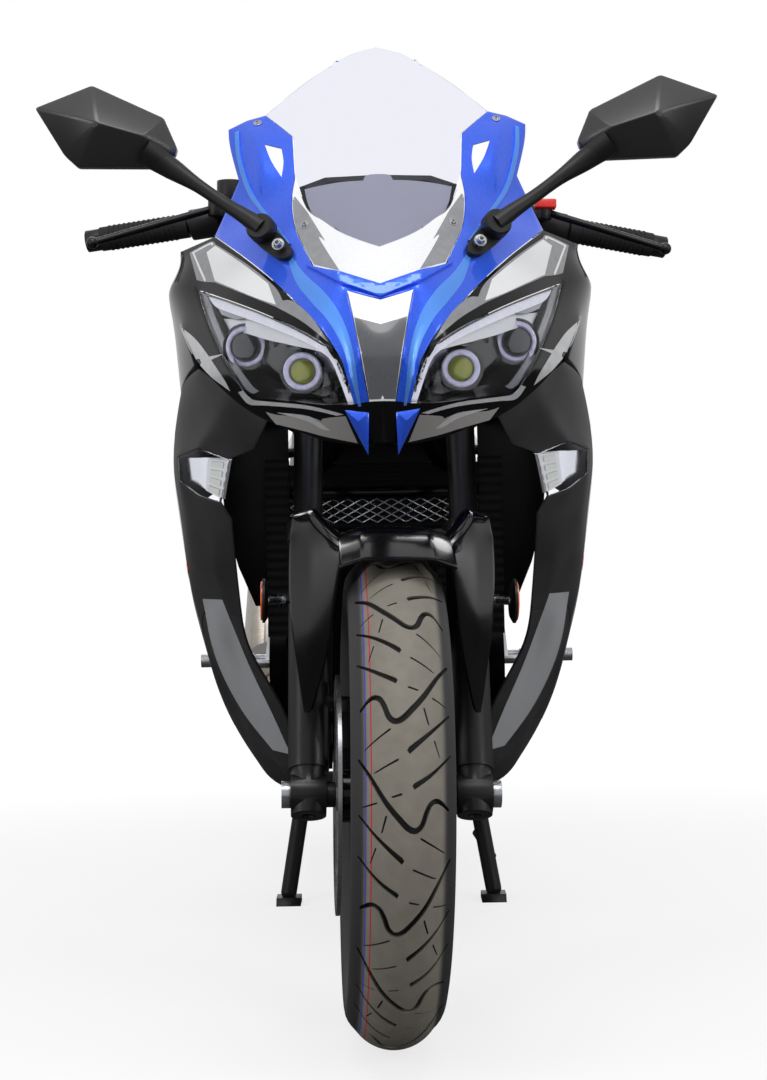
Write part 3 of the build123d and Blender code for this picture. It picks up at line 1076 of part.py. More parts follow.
# Centre stand, down, and side stand, folded back
stand_pivot = (STAND_SIDE, STAND_PIVOT_BACK, STAND_PIVOT_UP)
foot = (STAND_FOOT_SIDE, STAND_FOOT_BACK, STAND_TUBE_R + 6)
leg = rod(stand_pivot, foot, STAND_TUBE_R) + ball(foot, STAND_TUBE_R)
leg = leg + prism([(STAND_FOOT_BACK - 26, 0), (STAND_FOOT_BACK + 30, 0), (STAND_FOOT_BACK + 22, 12), (STAND_FOOT_BACK - 16, 12)],
                  STAND_FOOT_SIDE - 20, STAND_FOOT_SIDE + 20)
centre_stand = both(leg) + rod((-PLATE_SIDE + 0.4, *stand_pivot[1:]), (PLATE_SIDE - 0.4, *stand_pivot[1:]), STAND_TUBE_R)
centre_stand = centre_stand + rod((-140, 906, 170), (140, 906, 170), 9)
centre_stand = centre_stand + rod((142, 902, 110), (170, 948, 62), 7)
save(centre_stand, "centre_stand")

SIDE_HEAD = (186, 885, 300)
SIDE_AXIS = Vector(0.966, 0, 0.259)
side_tip = (204, 885 + 262, 322)
head_low = tuple(Vector(*SIDE_HEAD) - SIDE_AXIS * 7)
head_high = tuple(Vector(*SIDE_HEAD) + SIDE_AXIS * 9)
side_stand = rod(head_low, head_high, 15) + rod(SIDE_HEAD, side_tip, 10.5) + ball(side_tip, 10.5)
side_stand = side_stand + prism([(1140, 306), (1166, 304), (1170, 344), (1160, 346)], 186, 222)
pin_hole = rod(tuple(Vector(*SIDE_HEAD) - SIDE_AXIS * 40), tuple(Vector(*SIDE_HEAD) + SIDE_AXIS * 40), 6.4)
save(side_stand - pin_hole, "side_stand")
pin = rod(tuple(Vector(*SIDE_HEAD) - SIDE_AXIS * 20), tuple(Vector(*SIDE_HEAD) + SIDE_AXIS * 14), 6)
save(pin - frame, "side_stand_pin")
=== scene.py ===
# %% [markdown]
# # A sport motorcycle, dressed around its measured frame
# The construction model already holds every piece at its real size. This lesson loads it, keeps it where
# it is, and gives each visible surface its shape and finish. Blender works in metres; the tables and most
# sizes here are in millimetres, as a maker reads them, and are turned to metres by `at` or by MM.

# %% Load the frame, with a measure of one node's box
import json
from contextlib import contextmanager
from math import asin, atan2, cos, pi, radians, sin

import bmesh
import bpy
from mathutils import Matrix, Vector
from mathutils.bvhtree import BVHTree
from mathutils.geometry import delaunay_2d_cdt
from mathutils.kdtree import KDTree


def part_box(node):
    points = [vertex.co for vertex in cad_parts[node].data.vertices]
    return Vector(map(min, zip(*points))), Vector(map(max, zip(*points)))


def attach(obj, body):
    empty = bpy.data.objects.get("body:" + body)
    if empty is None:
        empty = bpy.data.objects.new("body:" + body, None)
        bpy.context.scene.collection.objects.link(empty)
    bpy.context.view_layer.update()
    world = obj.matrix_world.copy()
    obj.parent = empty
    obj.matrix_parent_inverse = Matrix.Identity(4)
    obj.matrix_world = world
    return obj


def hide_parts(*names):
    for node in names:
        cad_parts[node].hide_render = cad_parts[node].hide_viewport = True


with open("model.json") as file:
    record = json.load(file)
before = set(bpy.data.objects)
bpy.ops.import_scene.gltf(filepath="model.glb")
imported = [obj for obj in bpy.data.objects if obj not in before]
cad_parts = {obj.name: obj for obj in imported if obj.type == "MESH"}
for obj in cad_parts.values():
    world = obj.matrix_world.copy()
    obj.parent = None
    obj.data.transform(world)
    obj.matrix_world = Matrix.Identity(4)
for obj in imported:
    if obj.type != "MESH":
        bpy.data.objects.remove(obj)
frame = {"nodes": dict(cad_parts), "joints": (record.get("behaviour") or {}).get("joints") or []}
JOINTS = {joint["name"]: joint for joint in frame["joints"]}


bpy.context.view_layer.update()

# %% [markdown]
# ## Small tools
# A few helpers carry the whole lesson: one turns a colour from the hex code a painter would read off a
# chart into the linear light Blender mixes, one adds a shader or geometry node with its settings and
# links, and one makes a mesh object whose place is in its mesh, so that it can ride on the frame.

# %% Places, colours and nodes
MM = 0.001
FRONT_AXLE_Y = -0.700
LEFT, BACK, UP = Vector((1, 0, 0)), Vector((0, 1, 0)), Vector((0, 0, 1))
ORIGIN = Vector((0, 0, 0))


def at(side, back, up):
    """A table point: side from the centre plane, back from the front axle, up from the ground, in mm."""
    return Vector((side * MM, FRONT_AXLE_Y + back * MM, up * MM))


def turns(count):
    """The angles of evenly spaced spots round a circle."""
    return [2 * pi * k / count for k in range(count)]


def colour(code):
    """sRGB hex to linear RGBA."""
    parts = [int(code[k:k + 2], 16) / 255 for k in (1, 3, 5)]
    return [c / 12.92 if c <= 0.04045 else ((c + 0.055) / 1.055) ** 2.4 for c in parts] + [1.0]


def add(tree, kind, links=None, **settings):
    """One node: settings are its properties, links its sockets, each joined or set to a value."""
    node = tree.nodes.new(kind)
    for name, value in settings.items():
        setattr(node, name, value)
    for socket, value in (links or {}).items():
        target = node.inputs[socket]
        if isinstance(value, bpy.types.NodeSocket):
            tree.links.new(value, target)
        else:
            target.default_value = value
    return node


# %% Objects and their meshes
def placed(name, data):
    """A new object in the scene."""
    obj = bpy.data.objects.new(name, data)
    bpy.context.scene.collection.objects.link(obj)
    return obj


def mesh_object(name, points, faces, smooth=True):
    mesh = bpy.data.meshes.new(name)
    mesh.from_pydata([tuple(p) for p in points], [], faces)
    mesh.validate()
    if smooth:
        mesh.polygons.foreach_set("use_smooth", [True] * len(mesh.polygons))
    return placed(name, mesh)


@contextmanager
def edited(obj):
    """A piece's mesh, opened for editing and written back at the end."""
    shape = bmesh.new()
    shape.from_mesh(obj.data)
    yield shape
    shape.to_mesh(obj.data)
    shape.free()


def outfaced(obj):
    """Merges doubles and turns every face outwards."""
    with edited(obj) as shape:
        bmesh.ops.remove_doubles(shape, verts=shape.verts, dist=1e-6)
        bmesh.ops.recalc_face_normals(shape, faces=shape.faces)
    return obj


def modify(obj, kind, **settings):
    modifier = obj.modifiers.new(kind.title(), kind)
    for name, value in settings.items():
        setattr(modifier, name, value)
    return modifier


def evaluated(obj):
    """The piece's mesh as its modifiers leave it."""
    bpy.context.view_layer.update()
    return obj.evaluated_get(bpy.context.evaluated_depsgraph_get())


def applied(obj):
    """Turns an object's modifiers into its own mesh and removes them."""
    shown = evaluated(obj)
    mesh = bpy.data.meshes.new_from_object(shown, preserve_all_data_layers=True,
                                           depsgraph=bpy.context.evaluated_depsgraph_get())
    obj.modifiers.clear()
    old, obj.data = obj.data, mesh
    bpy.data.meshes.remove(old)
    mesh.name = obj.name
    return obj


def soften(obj, width, segments=2, angle=35):
    """Rounds the edges that turn by more than an angle, and applies it."""
    modify(obj, "BEVEL", width=width, segments=segments, limit_method="ANGLE", angle_limit=radians(angle),
           harden_normals=False, miter_outer="MITER_ARC")
    return applied(obj)


def walled(obj, wall, offset=-1.0):
    """Gives a sheet its thickness: -1 grows it inwards, 0 to both sides."""
    modify(obj, "SOLIDIFY", thickness=wall, offset=offset, use_even_offset=False)
    return applied(obj)


def shade(obj, angle=35):
    """Smooth shading that breaks at sharp edges."""
    mesh = obj.data
    mesh.polygons.foreach_set("use_smooth", [True] * len(mesh.polygons))
    mesh.set_sharp_from_angle(angle=radians(angle))
    return obj


def cut_out(obj, cutter):
    """Cuts one shape out of another and removes the cutter."""
    modify(obj, "BOOLEAN", object=cutter, operation="DIFFERENCE", solver="EXACT")
    applied(obj)
    bpy.data.objects.remove(cutter)
    return obj


def joined(name, parts):
    """One object from several, their materials kept."""
    bpy.ops.object.select_all(action="DESELECT")
    for part in parts:
        part.select_set(True)
    bpy.context.view_layer.objects.active = parts[0]
    bpy.ops.object.join()
    parts[0].name = name
    parts[0].data.name = name
    return parts[0]


def both(obj):
    """The piece and its image across the centre plane, as one object."""
    name = obj.name
    twin = placed(name + "_twin", obj.data.copy())
    twin.data.transform(Matrix.Scale(-1, 4, LEFT))
    twin.data.flip_normals()
    return joined(name, [obj, twin])


# %% Steering, finishes and the frame
REST_TURN = radians(3.0)
STEER_AXIS = Vector(JOINTS["steering_head"]["axis"])
STEER_POINT = Vector(JOINTS["steering_head"]["pos_m"])
STEER = (Matrix.Translation(STEER_POINT) @ Matrix.Rotation(REST_TURN, 4, STEER_AXIS)
         @ Matrix.Translation(-STEER_POINT))


def steered(obj):
    """Turns a piece modelled with the bars straight to where they rest."""
    obj.data.transform(STEER)
    return obj


def dress(obj, material):
    obj.data.materials.clear()
    obj.data.materials.append(material)
    return obj


def ready(obj, body, slot, *nodes):
    """Declares a finished piece: the body it rides on and the plain nodes it stands for; slot is not used."""
    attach(obj, body)
    if nodes:
        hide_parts(*nodes)
    print(f"{obj.name}: {sum(len(p.vertices) - 2 for p in obj.data.polygons)} triangles on {body}")
    return obj


# %% [markdown]
# ## Camera and studio
# The viewer stands straight ahead of the machine, at lamp height, three metres back. A white sweep, four
# soft boxes and two narrow strips light it, as in a catalogue studio. The floor and the sky look white to
# the eye and through glass, but send only modest light onto the machine, so that its black parts stay
# black.

# %% Camera
EYE_SIDE, EYE_DISTANCE, EYE_HEIGHT = -0.0017, 3.0, 0.594
SENSOR, FOCAL_SHARE = 36.0, 1.8
LEAN = radians(1.1)
camera_data = bpy.data.cameras.new("studio_camera")
camera_data.sensor_fit = "VERTICAL"
camera_data.sensor_height = SENSOR
camera_data.lens = SENSOR * FOCAL_SHARE
camera_data.clip_end = 60.0
camera = placed("studio_camera", camera_data)
camera.matrix_world = (Matrix.Translation((EYE_SIDE, -EYE_DISTANCE, EYE_HEIGHT))
                       @ Matrix.Rotation(pi / 2, 4, "X") @ Matrix.Rotation(-LEAN, 4, "Z"))
bpy.context.scene.camera = camera
bpy.context.scene.view_settings.view_transform = "Standard"

# %% World: white to the eye, dimmer in shiny surfaces, dimmest as light
AMBIENT = 0.36
DIM_FRONT, DIM_BACK = 0.5, 0.7
world = bpy.data.worlds.new("white_sweep")
bpy.context.scene.world = world
world.use_nodes = True
tree = world.node_tree
tree.nodes.clear()
ray = add(tree, "ShaderNodeLightPath")
direction = add(tree, "ShaderNodeTexCoord")
split = add(tree, "ShaderNodeSeparateXYZ", {0: direction.outputs["Generated"]})
behind = add(tree, "ShaderNodeMapRange", {"Value": split.outputs["Y"], "From Min": -0.7, "From Max": 0.45,
                                          "To Min": DIM_FRONT, "To Max": DIM_BACK},
             interpolation_type="SMOOTHSTEP")
seen = add(tree, "ShaderNodeMath", {0: ray.outputs["Is Glossy Ray"], 1: behind.outputs[0]},
           operation="MULTIPLY")
clear = add(tree, "ShaderNodeMath", {0: ray.outputs["Is Camera Ray"], 1: ray.outputs["Is Transmission Ray"]},
            operation="MAXIMUM")
white = add(tree, "ShaderNodeMath", {0: clear.outputs[0], 1: seen.outputs[0]}, operation="MAXIMUM")
strength = add(tree, "ShaderNodeMath", {0: white.outputs[0], 1: AMBIENT}, operation="MAXIMUM")
mirrored = add(tree, "ShaderNodeMath", {0: ray.outputs["Is Glossy Ray"],
                                        1: ray.outputs["Is Transmission Ray"]},
               operation="SUBTRACT", use_clamp=True)
dim = add(tree, "ShaderNodeMix", {0: mirrored.outputs[0], 2: strength.outputs[0], 3: seen.outputs[0]})
sky = add(tree, "ShaderNodeBackground", {"Color": (1, 1, 1, 1), "Strength": dim.outputs[0]})
add(tree, "ShaderNodeOutputWorld", {"Surface": sky.outputs[0]})

# %% Floor
FLOOR_HALF = 12.0
GLOW_NEAR, GLOW = 0.72, 1.04


def studio_floor():
    # Painted studio floor: it glows to the eye like an overexposed sweep and is grey to other light.
    material = bpy.data.materials.new("painted_studio_floor")
    material.use_nodes = True
    tree = material.node_tree
    tree.nodes.clear()
    ray = add(tree, "ShaderNodeLightPath")
    place = add(tree, "ShaderNodeTexCoord")
    far = add(tree, "ShaderNodeVectorMath", {0: place.outputs["Object"]}, operation="LENGTH")
    share = add(tree, "ShaderNodeMapRange", {"Value": far.outputs["Value"], "From Min": 0.9, "From Max": 2.4,
                                             "To Min": GLOW_NEAR, "To Max": 1.0},
                interpolation_type="SMOOTHSTEP")
    clear = add(tree, "ShaderNodeMath", {0: ray.outputs["Is Camera Ray"],
                                         1: ray.outputs["Is Transmission Ray"]}, operation="MAXIMUM")
    seen = add(tree, "ShaderNodeMath", {0: clear.outputs[0], 1: share.outputs[0]}, operation="MULTIPLY")
    lit = add(tree, "ShaderNodeBsdfDiffuse", {"Color": colour("#f4f4f4")})
    bounce = add(tree, "ShaderNodeBsdfDiffuse", {"Color": colour("#8c8c8c")})
    deep = add(tree, "ShaderNodeBsdfDiffuse", {"Color": colour("#5c5c5c")})
    dark = add(tree, "ShaderNodeMixShader", {0: ray.outputs["Is Glossy Ray"], 1: bounce.outputs[0],
                                             2: deep.outputs[0]})
    paint = add(tree, "ShaderNodeMixShader", {0: clear.outputs[0], 1: dark.outputs[0], 2: lit.outputs[0]})
    glow = add(tree, "ShaderNodeEmission", {"Color": (1, 1, 1, 1), "Strength": GLOW})
    mix = add(tree, "ShaderNodeMixShader", {0: seen.outputs[0], 1: paint.outputs[0], 2: glow.outputs[0]})
    add(tree, "ShaderNodeOutputMaterial", {"Surface": mix.outputs[0]})
    return material


floor_corners = [(x * FLOOR_HALF, y * FLOOR_HALF, 0) for x, y in ((-1, -1), (1, -1), (1, 1), (-1, 1))]
dress(mesh_object("studio_floor", floor_corners, [(0, 1, 2, 3)]), studio_floor())

# %% Soft boxes: name, place, size across and up, power, target, whether shiny surfaces show them
SOFT_BOXES = [("overhead_box", (0.0, -2.0, 3.4), 2.6, 1.0, 40, (0, -0.7, 0.8), True),
              ("left_box", (2.8, -2.8, 1.6), 1.2, 2.4, 32, (0, -0.5, 0.7), False),
              ("right_box", (-2.8, -2.8, 1.6), 1.2, 2.4, 32, (0, -0.5, 0.7), False),
              ("left_strip", (1.9, -1.9, 1.1), 0.12, 2.2, 7, (0, -0.7, 0.7), True),
              ("right_strip", (-1.9, -1.9, 1.1), 0.12, 2.2, 7, (0, -0.7, 0.7), True),
              ("rear_box", (0.0, 3.2, 2.6), 3.0, 1.4, 36, (0, 0.4, 0.7), True)]
for name, place, across, up, power, target, shows in SOFT_BOXES:
    light = bpy.data.lights.new(name, "AREA")
    light.shape = "RECTANGLE"
    light.size, light.size_y, light.energy = across, up, power
    lamp = placed(name, light)
    lamp.location = place
    lamp.rotation_euler = (Vector(target) - Vector(place)).to_track_quat("-Z", "Y").to_euler()
    lamp.visible_glossy = shows
    lamp.visible_transmission = False

# %% [markdown]
# ## Finishes
# Every finish starts from the stuff itself: what it is, how its surface was made, and what the eye gets
# from that. Patterns are sized in millimetres and read the object's own coordinates.

# %% Finish helpers: each takes a material, adds to it and gives it back
def finish(name, base, roughness, metallic=0.0, **sockets):
    """A material with one shader; a socket's name is written with underscores."""
    material = bpy.data.materials.new(name)
    material.use_nodes = True
    shader = material.node_tree.nodes["Principled BSDF"]
    shader.inputs["Base Color"].default_value = colour(base)
    shader.inputs["Roughness"].default_value = roughness
    shader.inputs["Metallic"].default_value = metallic
    for socket, value in sockets.items():
        shader.inputs[socket.replace("_", " ")].default_value = value
    return material


def feed(material, socket, source):
    """Joins a node's output to the material's shader."""
    tree = material.node_tree
    tree.links.new(source, tree.nodes["Principled BSDF"].inputs[socket])
    return material


def clouds(tree, size_mm, detail, kind="ShaderNodeTexNoise"):
    """A pattern of a real size on the piece's own coordinates."""
    place = add(tree, "ShaderNodeTexCoord")
    return add(tree, kind, {"Vector": place.outputs["Object"], "Scale": 1 / (size_mm * MM), "Detail": detail})


def grain(material, size_mm, depth_mm, detail=2.0, kind="ShaderNodeTexNoise"):
    """Fine bumps of a real size over the whole surface."""
    tree = material.node_tree
    bumps = clouds(tree, size_mm, detail, kind)
    bump = add(tree, "ShaderNodeBump", {"Height": bumps.outputs[0], "Distance": depth_mm * MM,
                                        "Strength": 0.8})
    return feed(material, "Normal", bump.outputs[0])


def mottle(material, size_mm, low, high):
    """A roughness that drifts slowly over the surface, as handling and air leave it."""
    tree = material.node_tree
    spread = add(tree, "ShaderNodeMapRange", {"Value": clouds(tree, size_mm, 3.0).outputs[0],
                                              "From Min": 0.3, "From Max": 0.7,
                                              "To Min": low, "To Max": high})
    return feed(material, "Roughness", spread.outputs[0])


def tint(material, size_mm, first, second):
    """Two near colours that drift into each other."""
    tree = material.node_tree
    spread = add(tree, "ShaderNodeMapRange", {"Value": clouds(tree, size_mm, 4.0).outputs[0],
                                              "From Min": 0.35, "From Max": 0.65})
    mix = add(tree, "ShaderNodeMix", {0: spread.outputs[0], 6: colour(first), 7: colour(second)},
              data_type="RGBA")
    return feed(material, "Base Color", mix.outputs[2])


# %% Paints, plastics and films
def metallic_blue_paint():
    # Aluminium flakes in blue lacquer, sprayed on ABS under a clear coat: deep blue where it faces away,
    # pale where a lamp finds the flakes. Flakes are drawn 1.2 mm wide so that they show.
    paint = finish("metallic_blue_paint", "#1e5cfa", 0.34, 0.5, Coat_Weight=1.0, Coat_Roughness=0.03)
    return mottle(tint(paint, 1.2, "#1850f4", "#3070ff"), 90, 0.26, 0.34)


def pearl_white_paint():
    # White enamel with mica on ABS, sprayed and clear coated: soft, slightly cool white.
    paint = finish("pearl_white_paint", "#f1f2f5", 0.3, Coat_Weight=1.0, Coat_Roughness=0.04)
    return tint(paint, 2.5, "#eff0f4", "#f6f6f8")


def gloss_black_paint():
    # Black enamel on ABS, polished: near black, seen by its reflections.
    paint = finish("gloss_black_paint", "#08080a", 0.1, Specular_IOR_Level=0.25, Coat_Weight=0.06,
                   Coat_Roughness=0.03)
    return mottle(paint, 60, 0.1, 0.17)


def grained_charcoal_plastic():
    # Moulded polypropylene with a spark-eroded grain: dark grey, broad dull sheen.
    plastic = finish("grained_charcoal_plastic", "#353537", 0.55, Specular_IOR_Level=0.35)
    return tint(grain(plastic, 0.9, 0.09), 60, "#303032", "#38383a")


def moulded_black_plastic():
    # Nylon and ABS mouldings: black with a fine matt grain.
    return mottle(grain(finish("moulded_black_plastic", "#0f0f10", 0.46), 0.8, 0.05), 40, 0.42, 0.55)


def mirror_black_plastic():
    # Injection-moulded ABS with a satin sheen: the tops of the mirror housings catch the light.
    plastic = finish("mirror_black_plastic", "#1d1d1f", 0.34, Specular_IOR_Level=0.8, Coat_Weight=0.3,
                     Coat_Roughness=0.25)
    return grain(plastic, 1.4, 0.02)


def satin_black_enamel():
    # Powder coat on steel and cast alloy: satin black with a faint orange peel.
    return mottle(grain(finish("satin_black_enamel", "#0c0c0d", 0.36), 3.0, 0.05), 50, 0.3, 0.44)


def grey_decal_film():
    # Printed vinyl film: flat mid grey with a thin gloss.
    return tint(finish("grey_decal_film", "#66676b", 0.35, Coat_Weight=0.5), 12, "#87888c", "#919296")


def silver_decal_film():
    # Silver printed vinyl: pale satin grey.
    film = finish("silver_decal_film", "#c9cacd", 0.32, 0.35, Coat_Weight=0.5)
    return tint(film, 12, "#c4c5c8", "#cfd0d3")


def plain_film(name, code, roughness=0.35):
    # Printed vinyl film in one more tone, pressed onto the paint: even colour under a thin gloss.
    return mottle(finish(name, code, roughness, Coat_Weight=0.5), 30, roughness - 0.05, roughness + 0.05)


def satin_silver(name, code):
    # Vacuum-metallised ABS with a satin top coat: pale, soft silver.
    return mottle(finish(name, code, 0.34, 0.55, Coat_Weight=0.4), 25, 0.28, 0.4)


def red_switch_plastic():
    # Moulded ABS, coloured through: bright red with a soft gloss.
    return mottle(finish("red_switch_plastic", "#e5322c", 0.32), 8, 0.26, 0.4)


def plate_white():
    # Blank pressed aluminium plate under white enamel.
    return mottle(finish("plate_white_enamel", "#e6e6e4", 0.4), 40, 0.34, 0.48)


BLUE, WHITE, GLOSS = metallic_blue_paint(), pearl_white_paint(), gloss_black_paint()
CHARCOAL, MOULDED, HOUSING = grained_charcoal_plastic(), moulded_black_plastic(), mirror_black_plastic()
SATIN, RED, PLATE = satin_black_enamel(), red_switch_plastic(), plate_white()
GREY_FILM, SILVER_FILM = grey_decal_film(), silver_decal_film()
WHITE_FILM = plain_film("white_decal_film", "#eeeff1")
LIP_FILM, KEEL_FILM = plain_film("warm_grey_decal_film", "#8f8d8b"), plain_film("light_grey_film", "#b4b6ba")
CENTRE_FILM = plain_film("slate_decal_film", "#5b5c60", 0.3)
# The last of these, a paler blue, is a painted highlight on the strakes and the wing ribs, not a paint of its
# own.
BROW_SILVER, INLET_GREY, CELL_GREY, LINER_GREY, DISPLAY_GREY, PAINTED_HIGHLIGHT_BLUE = (satin_silver(*pair) for pair in (
    ("lamp_brow_silver", "#d9dadc"), ("lamp_inlet_grey", "#9c9fa4"), ("signal_cell_grey", "#cfd0c8"),
    ("screen_liner_grey", "#b4b4bc"), ("display_grey", "#6f7a72"), ("azure_paint_band", "#5c9eff")))


# %% Metals
def zinc_plated_steel():
    # Steel fasteners dipped in zinc and passivated: pale, slightly blue, finely mottled.
    return mottle(finish("zinc_plated_steel", "#c6c9cc", 0.26, 1.0), 6, 0.2, 0.36)


def ground_stainless():
    # Brake discs ground flat: fine scratches, drawn 1.5 mm apart.
    return mottle(finish("ground_stainless", "#b9babd", 0.3, 1.0), 1.5, 0.24, 0.4)


def cast_alloy():
    # Bead-blasted aluminium casting: bright grey with a sandy skin.
    return grain(finish("cast_alloy", "#b4b5b8", 0.42, 1.0), 1.2, 0.08)


def black_engine_alloy():
    # Cast aluminium under black heat-proof paint: dull, slightly rough.
    return grain(finish("black_engine_alloy", "#1b1b1d", 0.5, 0.3), 1.6, 0.12)


def radiator_core():
    # Painted aluminium core: black, with level ribs. A scale of 25 sets them about 12.6 mm apart.
    material = finish("radiator_core", "#17181a", 0.45, 0.4)
    tree = material.node_tree
    place = add(tree, "ShaderNodeTexCoord")
    fins = add(tree, "ShaderNodeTexWave", {"Vector": place.outputs["Object"], "Scale": 25.0},
               wave_type="BANDS", bands_direction="Z")
    bump = add(tree, "ShaderNodeBump", {"Height": fins.outputs[1], "Distance": 0.8 * MM, "Strength": 1.0})
    return feed(material, "Normal", bump.outputs[0])


def brushed_exhaust_steel():
    # Stainless tube, brushed and then warmed by use: straw tints drift over grey.
    steel = tint(finish("brushed_exhaust_steel", "#8f8c88", 0.3, 1.0), 70, "#8a8886", "#a09684")
    return mottle(steel, 5, 0.24, 0.38)


def oiled_chain_steel():
    # Rolled steel plates with a film of oil: warm grey.
    return mottle(finish("oiled_chain_steel", "#77716a", 0.34, 1.0), 3, 0.25, 0.5)


def red_spring_enamel():
    # Coil spring powder coated in red: smooth semi gloss.
    return mottle(finish("red_spring_enamel", "#b01a18", 0.3, Coat_Weight=0.4), 20, 0.24, 0.36)


ZINC, STAINLESS, CAST, ENGINE = zinc_plated_steel(), ground_stainless(), cast_alloy(), black_engine_alloy()
CORE, EXHAUST = radiator_core(), brushed_exhaust_steel()
CHAIN, SPRING = oiled_chain_steel(), red_spring_enamel()


# %% Rubbers and vinyl
def moulded_grip_rubber():
    # Soft moulded rubber: black with no gloss.
    return grain(finish("moulded_grip_rubber", "#151515", 0.72), 0.7, 0.05)


def tyre_rubber():
    # Vulcanised rubber, new: the tread wears a warm grey bloom, the sidewall is blacker, and the cut
    # grooves are painted darkest, a painted shade. Two thin paint lines, made when the tread was extruded,
    # run round one side.
    material = finish("vulcanised_tyre_rubber", "#3d3b38", 0.62)
    tree = material.node_tree
    place = add(tree, "ShaderNodeUVMap", uv_map="tread_map")
    spread = add(tree, "ShaderNodeSeparateXYZ", {0: place.outputs[0]})
    across = spread.outputs["Y"]
    level = add(tree, "ShaderNodeAttribute", attribute_name="groove")
    spot = add(tree, "ShaderNodeTexCoord")
    bloom = add(tree, "ShaderNodeTexNoise", {"Vector": spot.outputs["Object"], "Scale": 60.0, "Detail": 5.0})
    shown = add(tree, "ShaderNodeMix", {0: bloom.outputs[0], 6: colour("#726d64"), 7: colour("#8a857b")},
                data_type="RGBA")
    far = add(tree, "ShaderNodeMath", {0: across}, operation="ABSOLUTE")
    wall = add(tree, "ShaderNodeMapRange", {"Value": far.outputs[0], "From Min": 0.042, "From Max": 0.054},
               interpolation_type="SMOOTHSTEP")
    shown = add(tree, "ShaderNodeMix", {0: wall.outputs[0], 6: shown.outputs[2], 7: colour("#2b2a2c")},
                data_type="RGBA")
    # Paint lines: distance across the tread, colour.
    for offset, code in ((-0.0385, "#b3263c"), (-0.0465, "#2f3fae")):
        gap = add(tree, "ShaderNodeMath", {0: across, 1: offset, 2: 0.0009}, operation="COMPARE")
        shown = add(tree, "ShaderNodeMix", {0: gap.outputs[0], 6: shown.outputs[2], 7: colour(code)},
                    data_type="RGBA")
    # Painted shade: every sunk point of a groove is painted near black.
    shown = add(tree, "ShaderNodeMix", {0: level.outputs["Fac"], 6: shown.outputs[2], 7: colour("#111111")},
                data_type="RGBA")
    bump = add(tree, "ShaderNodeBump", {"Height": bloom.outputs[0], "Distance": 0.4 * MM, "Strength": 0.5})
    feed(material, "Base Color", shown.outputs[2])
    return feed(material, "Normal", bump.outputs[0])


def seat_vinyl():
    # Vinyl-coated cloth stretched over foam: black, fine pebble grain 1.2 mm wide.
    vinyl = grain(finish("seat_vinyl", "#1a1a1b", 0.5, Sheen_Weight=0.15), 1.2, 0.16, 1.0)
    return mottle(vinyl, 80, 0.42, 0.56)


GRIP, TYRE, VINYL = moulded_grip_rubber(), tyre_rubber(), seat_vinyl()


# %% Lenses, glass and lamp insides
def clear_acrylic():
    # Blown acrylic sheet with a faint cool tint: almost only its reflections show.
    return mottle(finish("clear_acrylic", "#eeeff8", 0.015, IOR=1.12, Transmission_Weight=1.0), 200, 0.01,
                  0.03)


def clear_polycarbonate():
    # Hard-coated lamp cover, injection moulded: clear and very smooth.
    cover = finish("clear_polycarbonate", "#f7f8fb", 0.01, IOR=1.15, Transmission_Weight=1.0)
    return mottle(cover, 200, 0.005, 0.015)


def amber_reflector():
    # Moulded acrylic with a prism back: deep orange with a fine cell pattern 3 mm wide.
    acrylic = finish("amber_reflector", "#e2560e", 0.18, Coat_Weight=1.0)
    return grain(acrylic, 3.0, 0.4, 0.0, "ShaderNodeTexVoronoi")


def red_lamp_lens():
    # Red acrylic lens over prisms.
    acrylic = finish("red_lamp_lens", "#b3121a", 0.12, Coat_Weight=1.0)
    return grain(acrylic, 4.0, 0.4, 0.0, "ShaderNodeTexVoronoi")


def mirror_silver():
    # Silvered glass: a clean reflection.
    return mottle(finish("mirror_silver", "#e9edf0", 0.02, 1.0), 60, 0.01, 0.03)


def chromed_plastic():
    # Vacuum-metallised ABS, used for lamp reflectors: bright, slightly soft mirror.
    return mottle(finish("chromed_plastic", "#e3e3e8", 0.16, 1.0), 15, 0.12, 0.22)


def white_light_guide():
    # Opal acrylic light guide, unlit: milky white with a faint lavender cast.
    return tint(finish("white_light_guide", "#f2f1fb", 0.28, Coat_Weight=0.6), 8, "#efeefa", "#f8f7ff")


def opal_lamp_ring():
    # Opal acrylic ring, unlit: milky lavender.
    return tint(finish("opal_lamp_ring", "#c9c6e6", 0.25, Coat_Weight=0.8), 6, "#bdb9dd", "#d6d4ee")


def lamp_black():
    # Black chromed ABS inside a lamp: a dark mirror with soft edges.
    return mottle(finish("lamp_black_plating", "#060608", 0.16, Coat_Weight=0.8, Coat_Roughness=0.05),
                  20, 0.12, 0.22)


def smoke_facet():
    # Clear lens wall seen at a slant over a grey frame: smoky blue grey.
    return mottle(finish("smoke_facet", "#3f434c", 0.2, Coat_Weight=0.6), 20, 0.14, 0.26)


def projector_glass(name, centre, edge):
    # Moulded bull's-eye glass over a dark shutter: its colour changes from the middle to the edge, its own
    # tint in the middle and a painted rim where it turns away from the eye, paler on the dark glass as a
    # painted sheen and darker on the yellow one as painted shade.
    material = finish(name, edge, 0.04, Coat_Weight=1.0, Coat_Roughness=0.0)
    tree = material.node_tree
    # Painted light: the mix follows how squarely the glass faces the eye.
    facing = add(tree, "ShaderNodeLayerWeight", {"Blend": 0.5})
    mix = add(tree, "ShaderNodeMix", {0: facing.outputs["Facing"], 6: colour(centre), 7: colour(edge)},
              data_type="RGBA")
    return feed(material, "Base Color", mix.outputs[2])


ACRYLIC, POLYCARBONATE = clear_acrylic(), clear_polycarbonate()
AMBER, RED_LENS = amber_reflector(), red_lamp_lens()
MIRROR, CHROME, GUIDE, OPAL = mirror_silver(), chromed_plastic(), white_light_guide(), opal_lamp_ring()
LAMP_BLACK, SMOKE = lamp_black(), smoke_facet()
DARK_GLASS = projector_glass("projector_glass_dark", "#1c2024", "#2c3238")
YELLOW_GLASS = projector_glass("projector_glass_yellow", "#8a8f2c", "#4c5222")

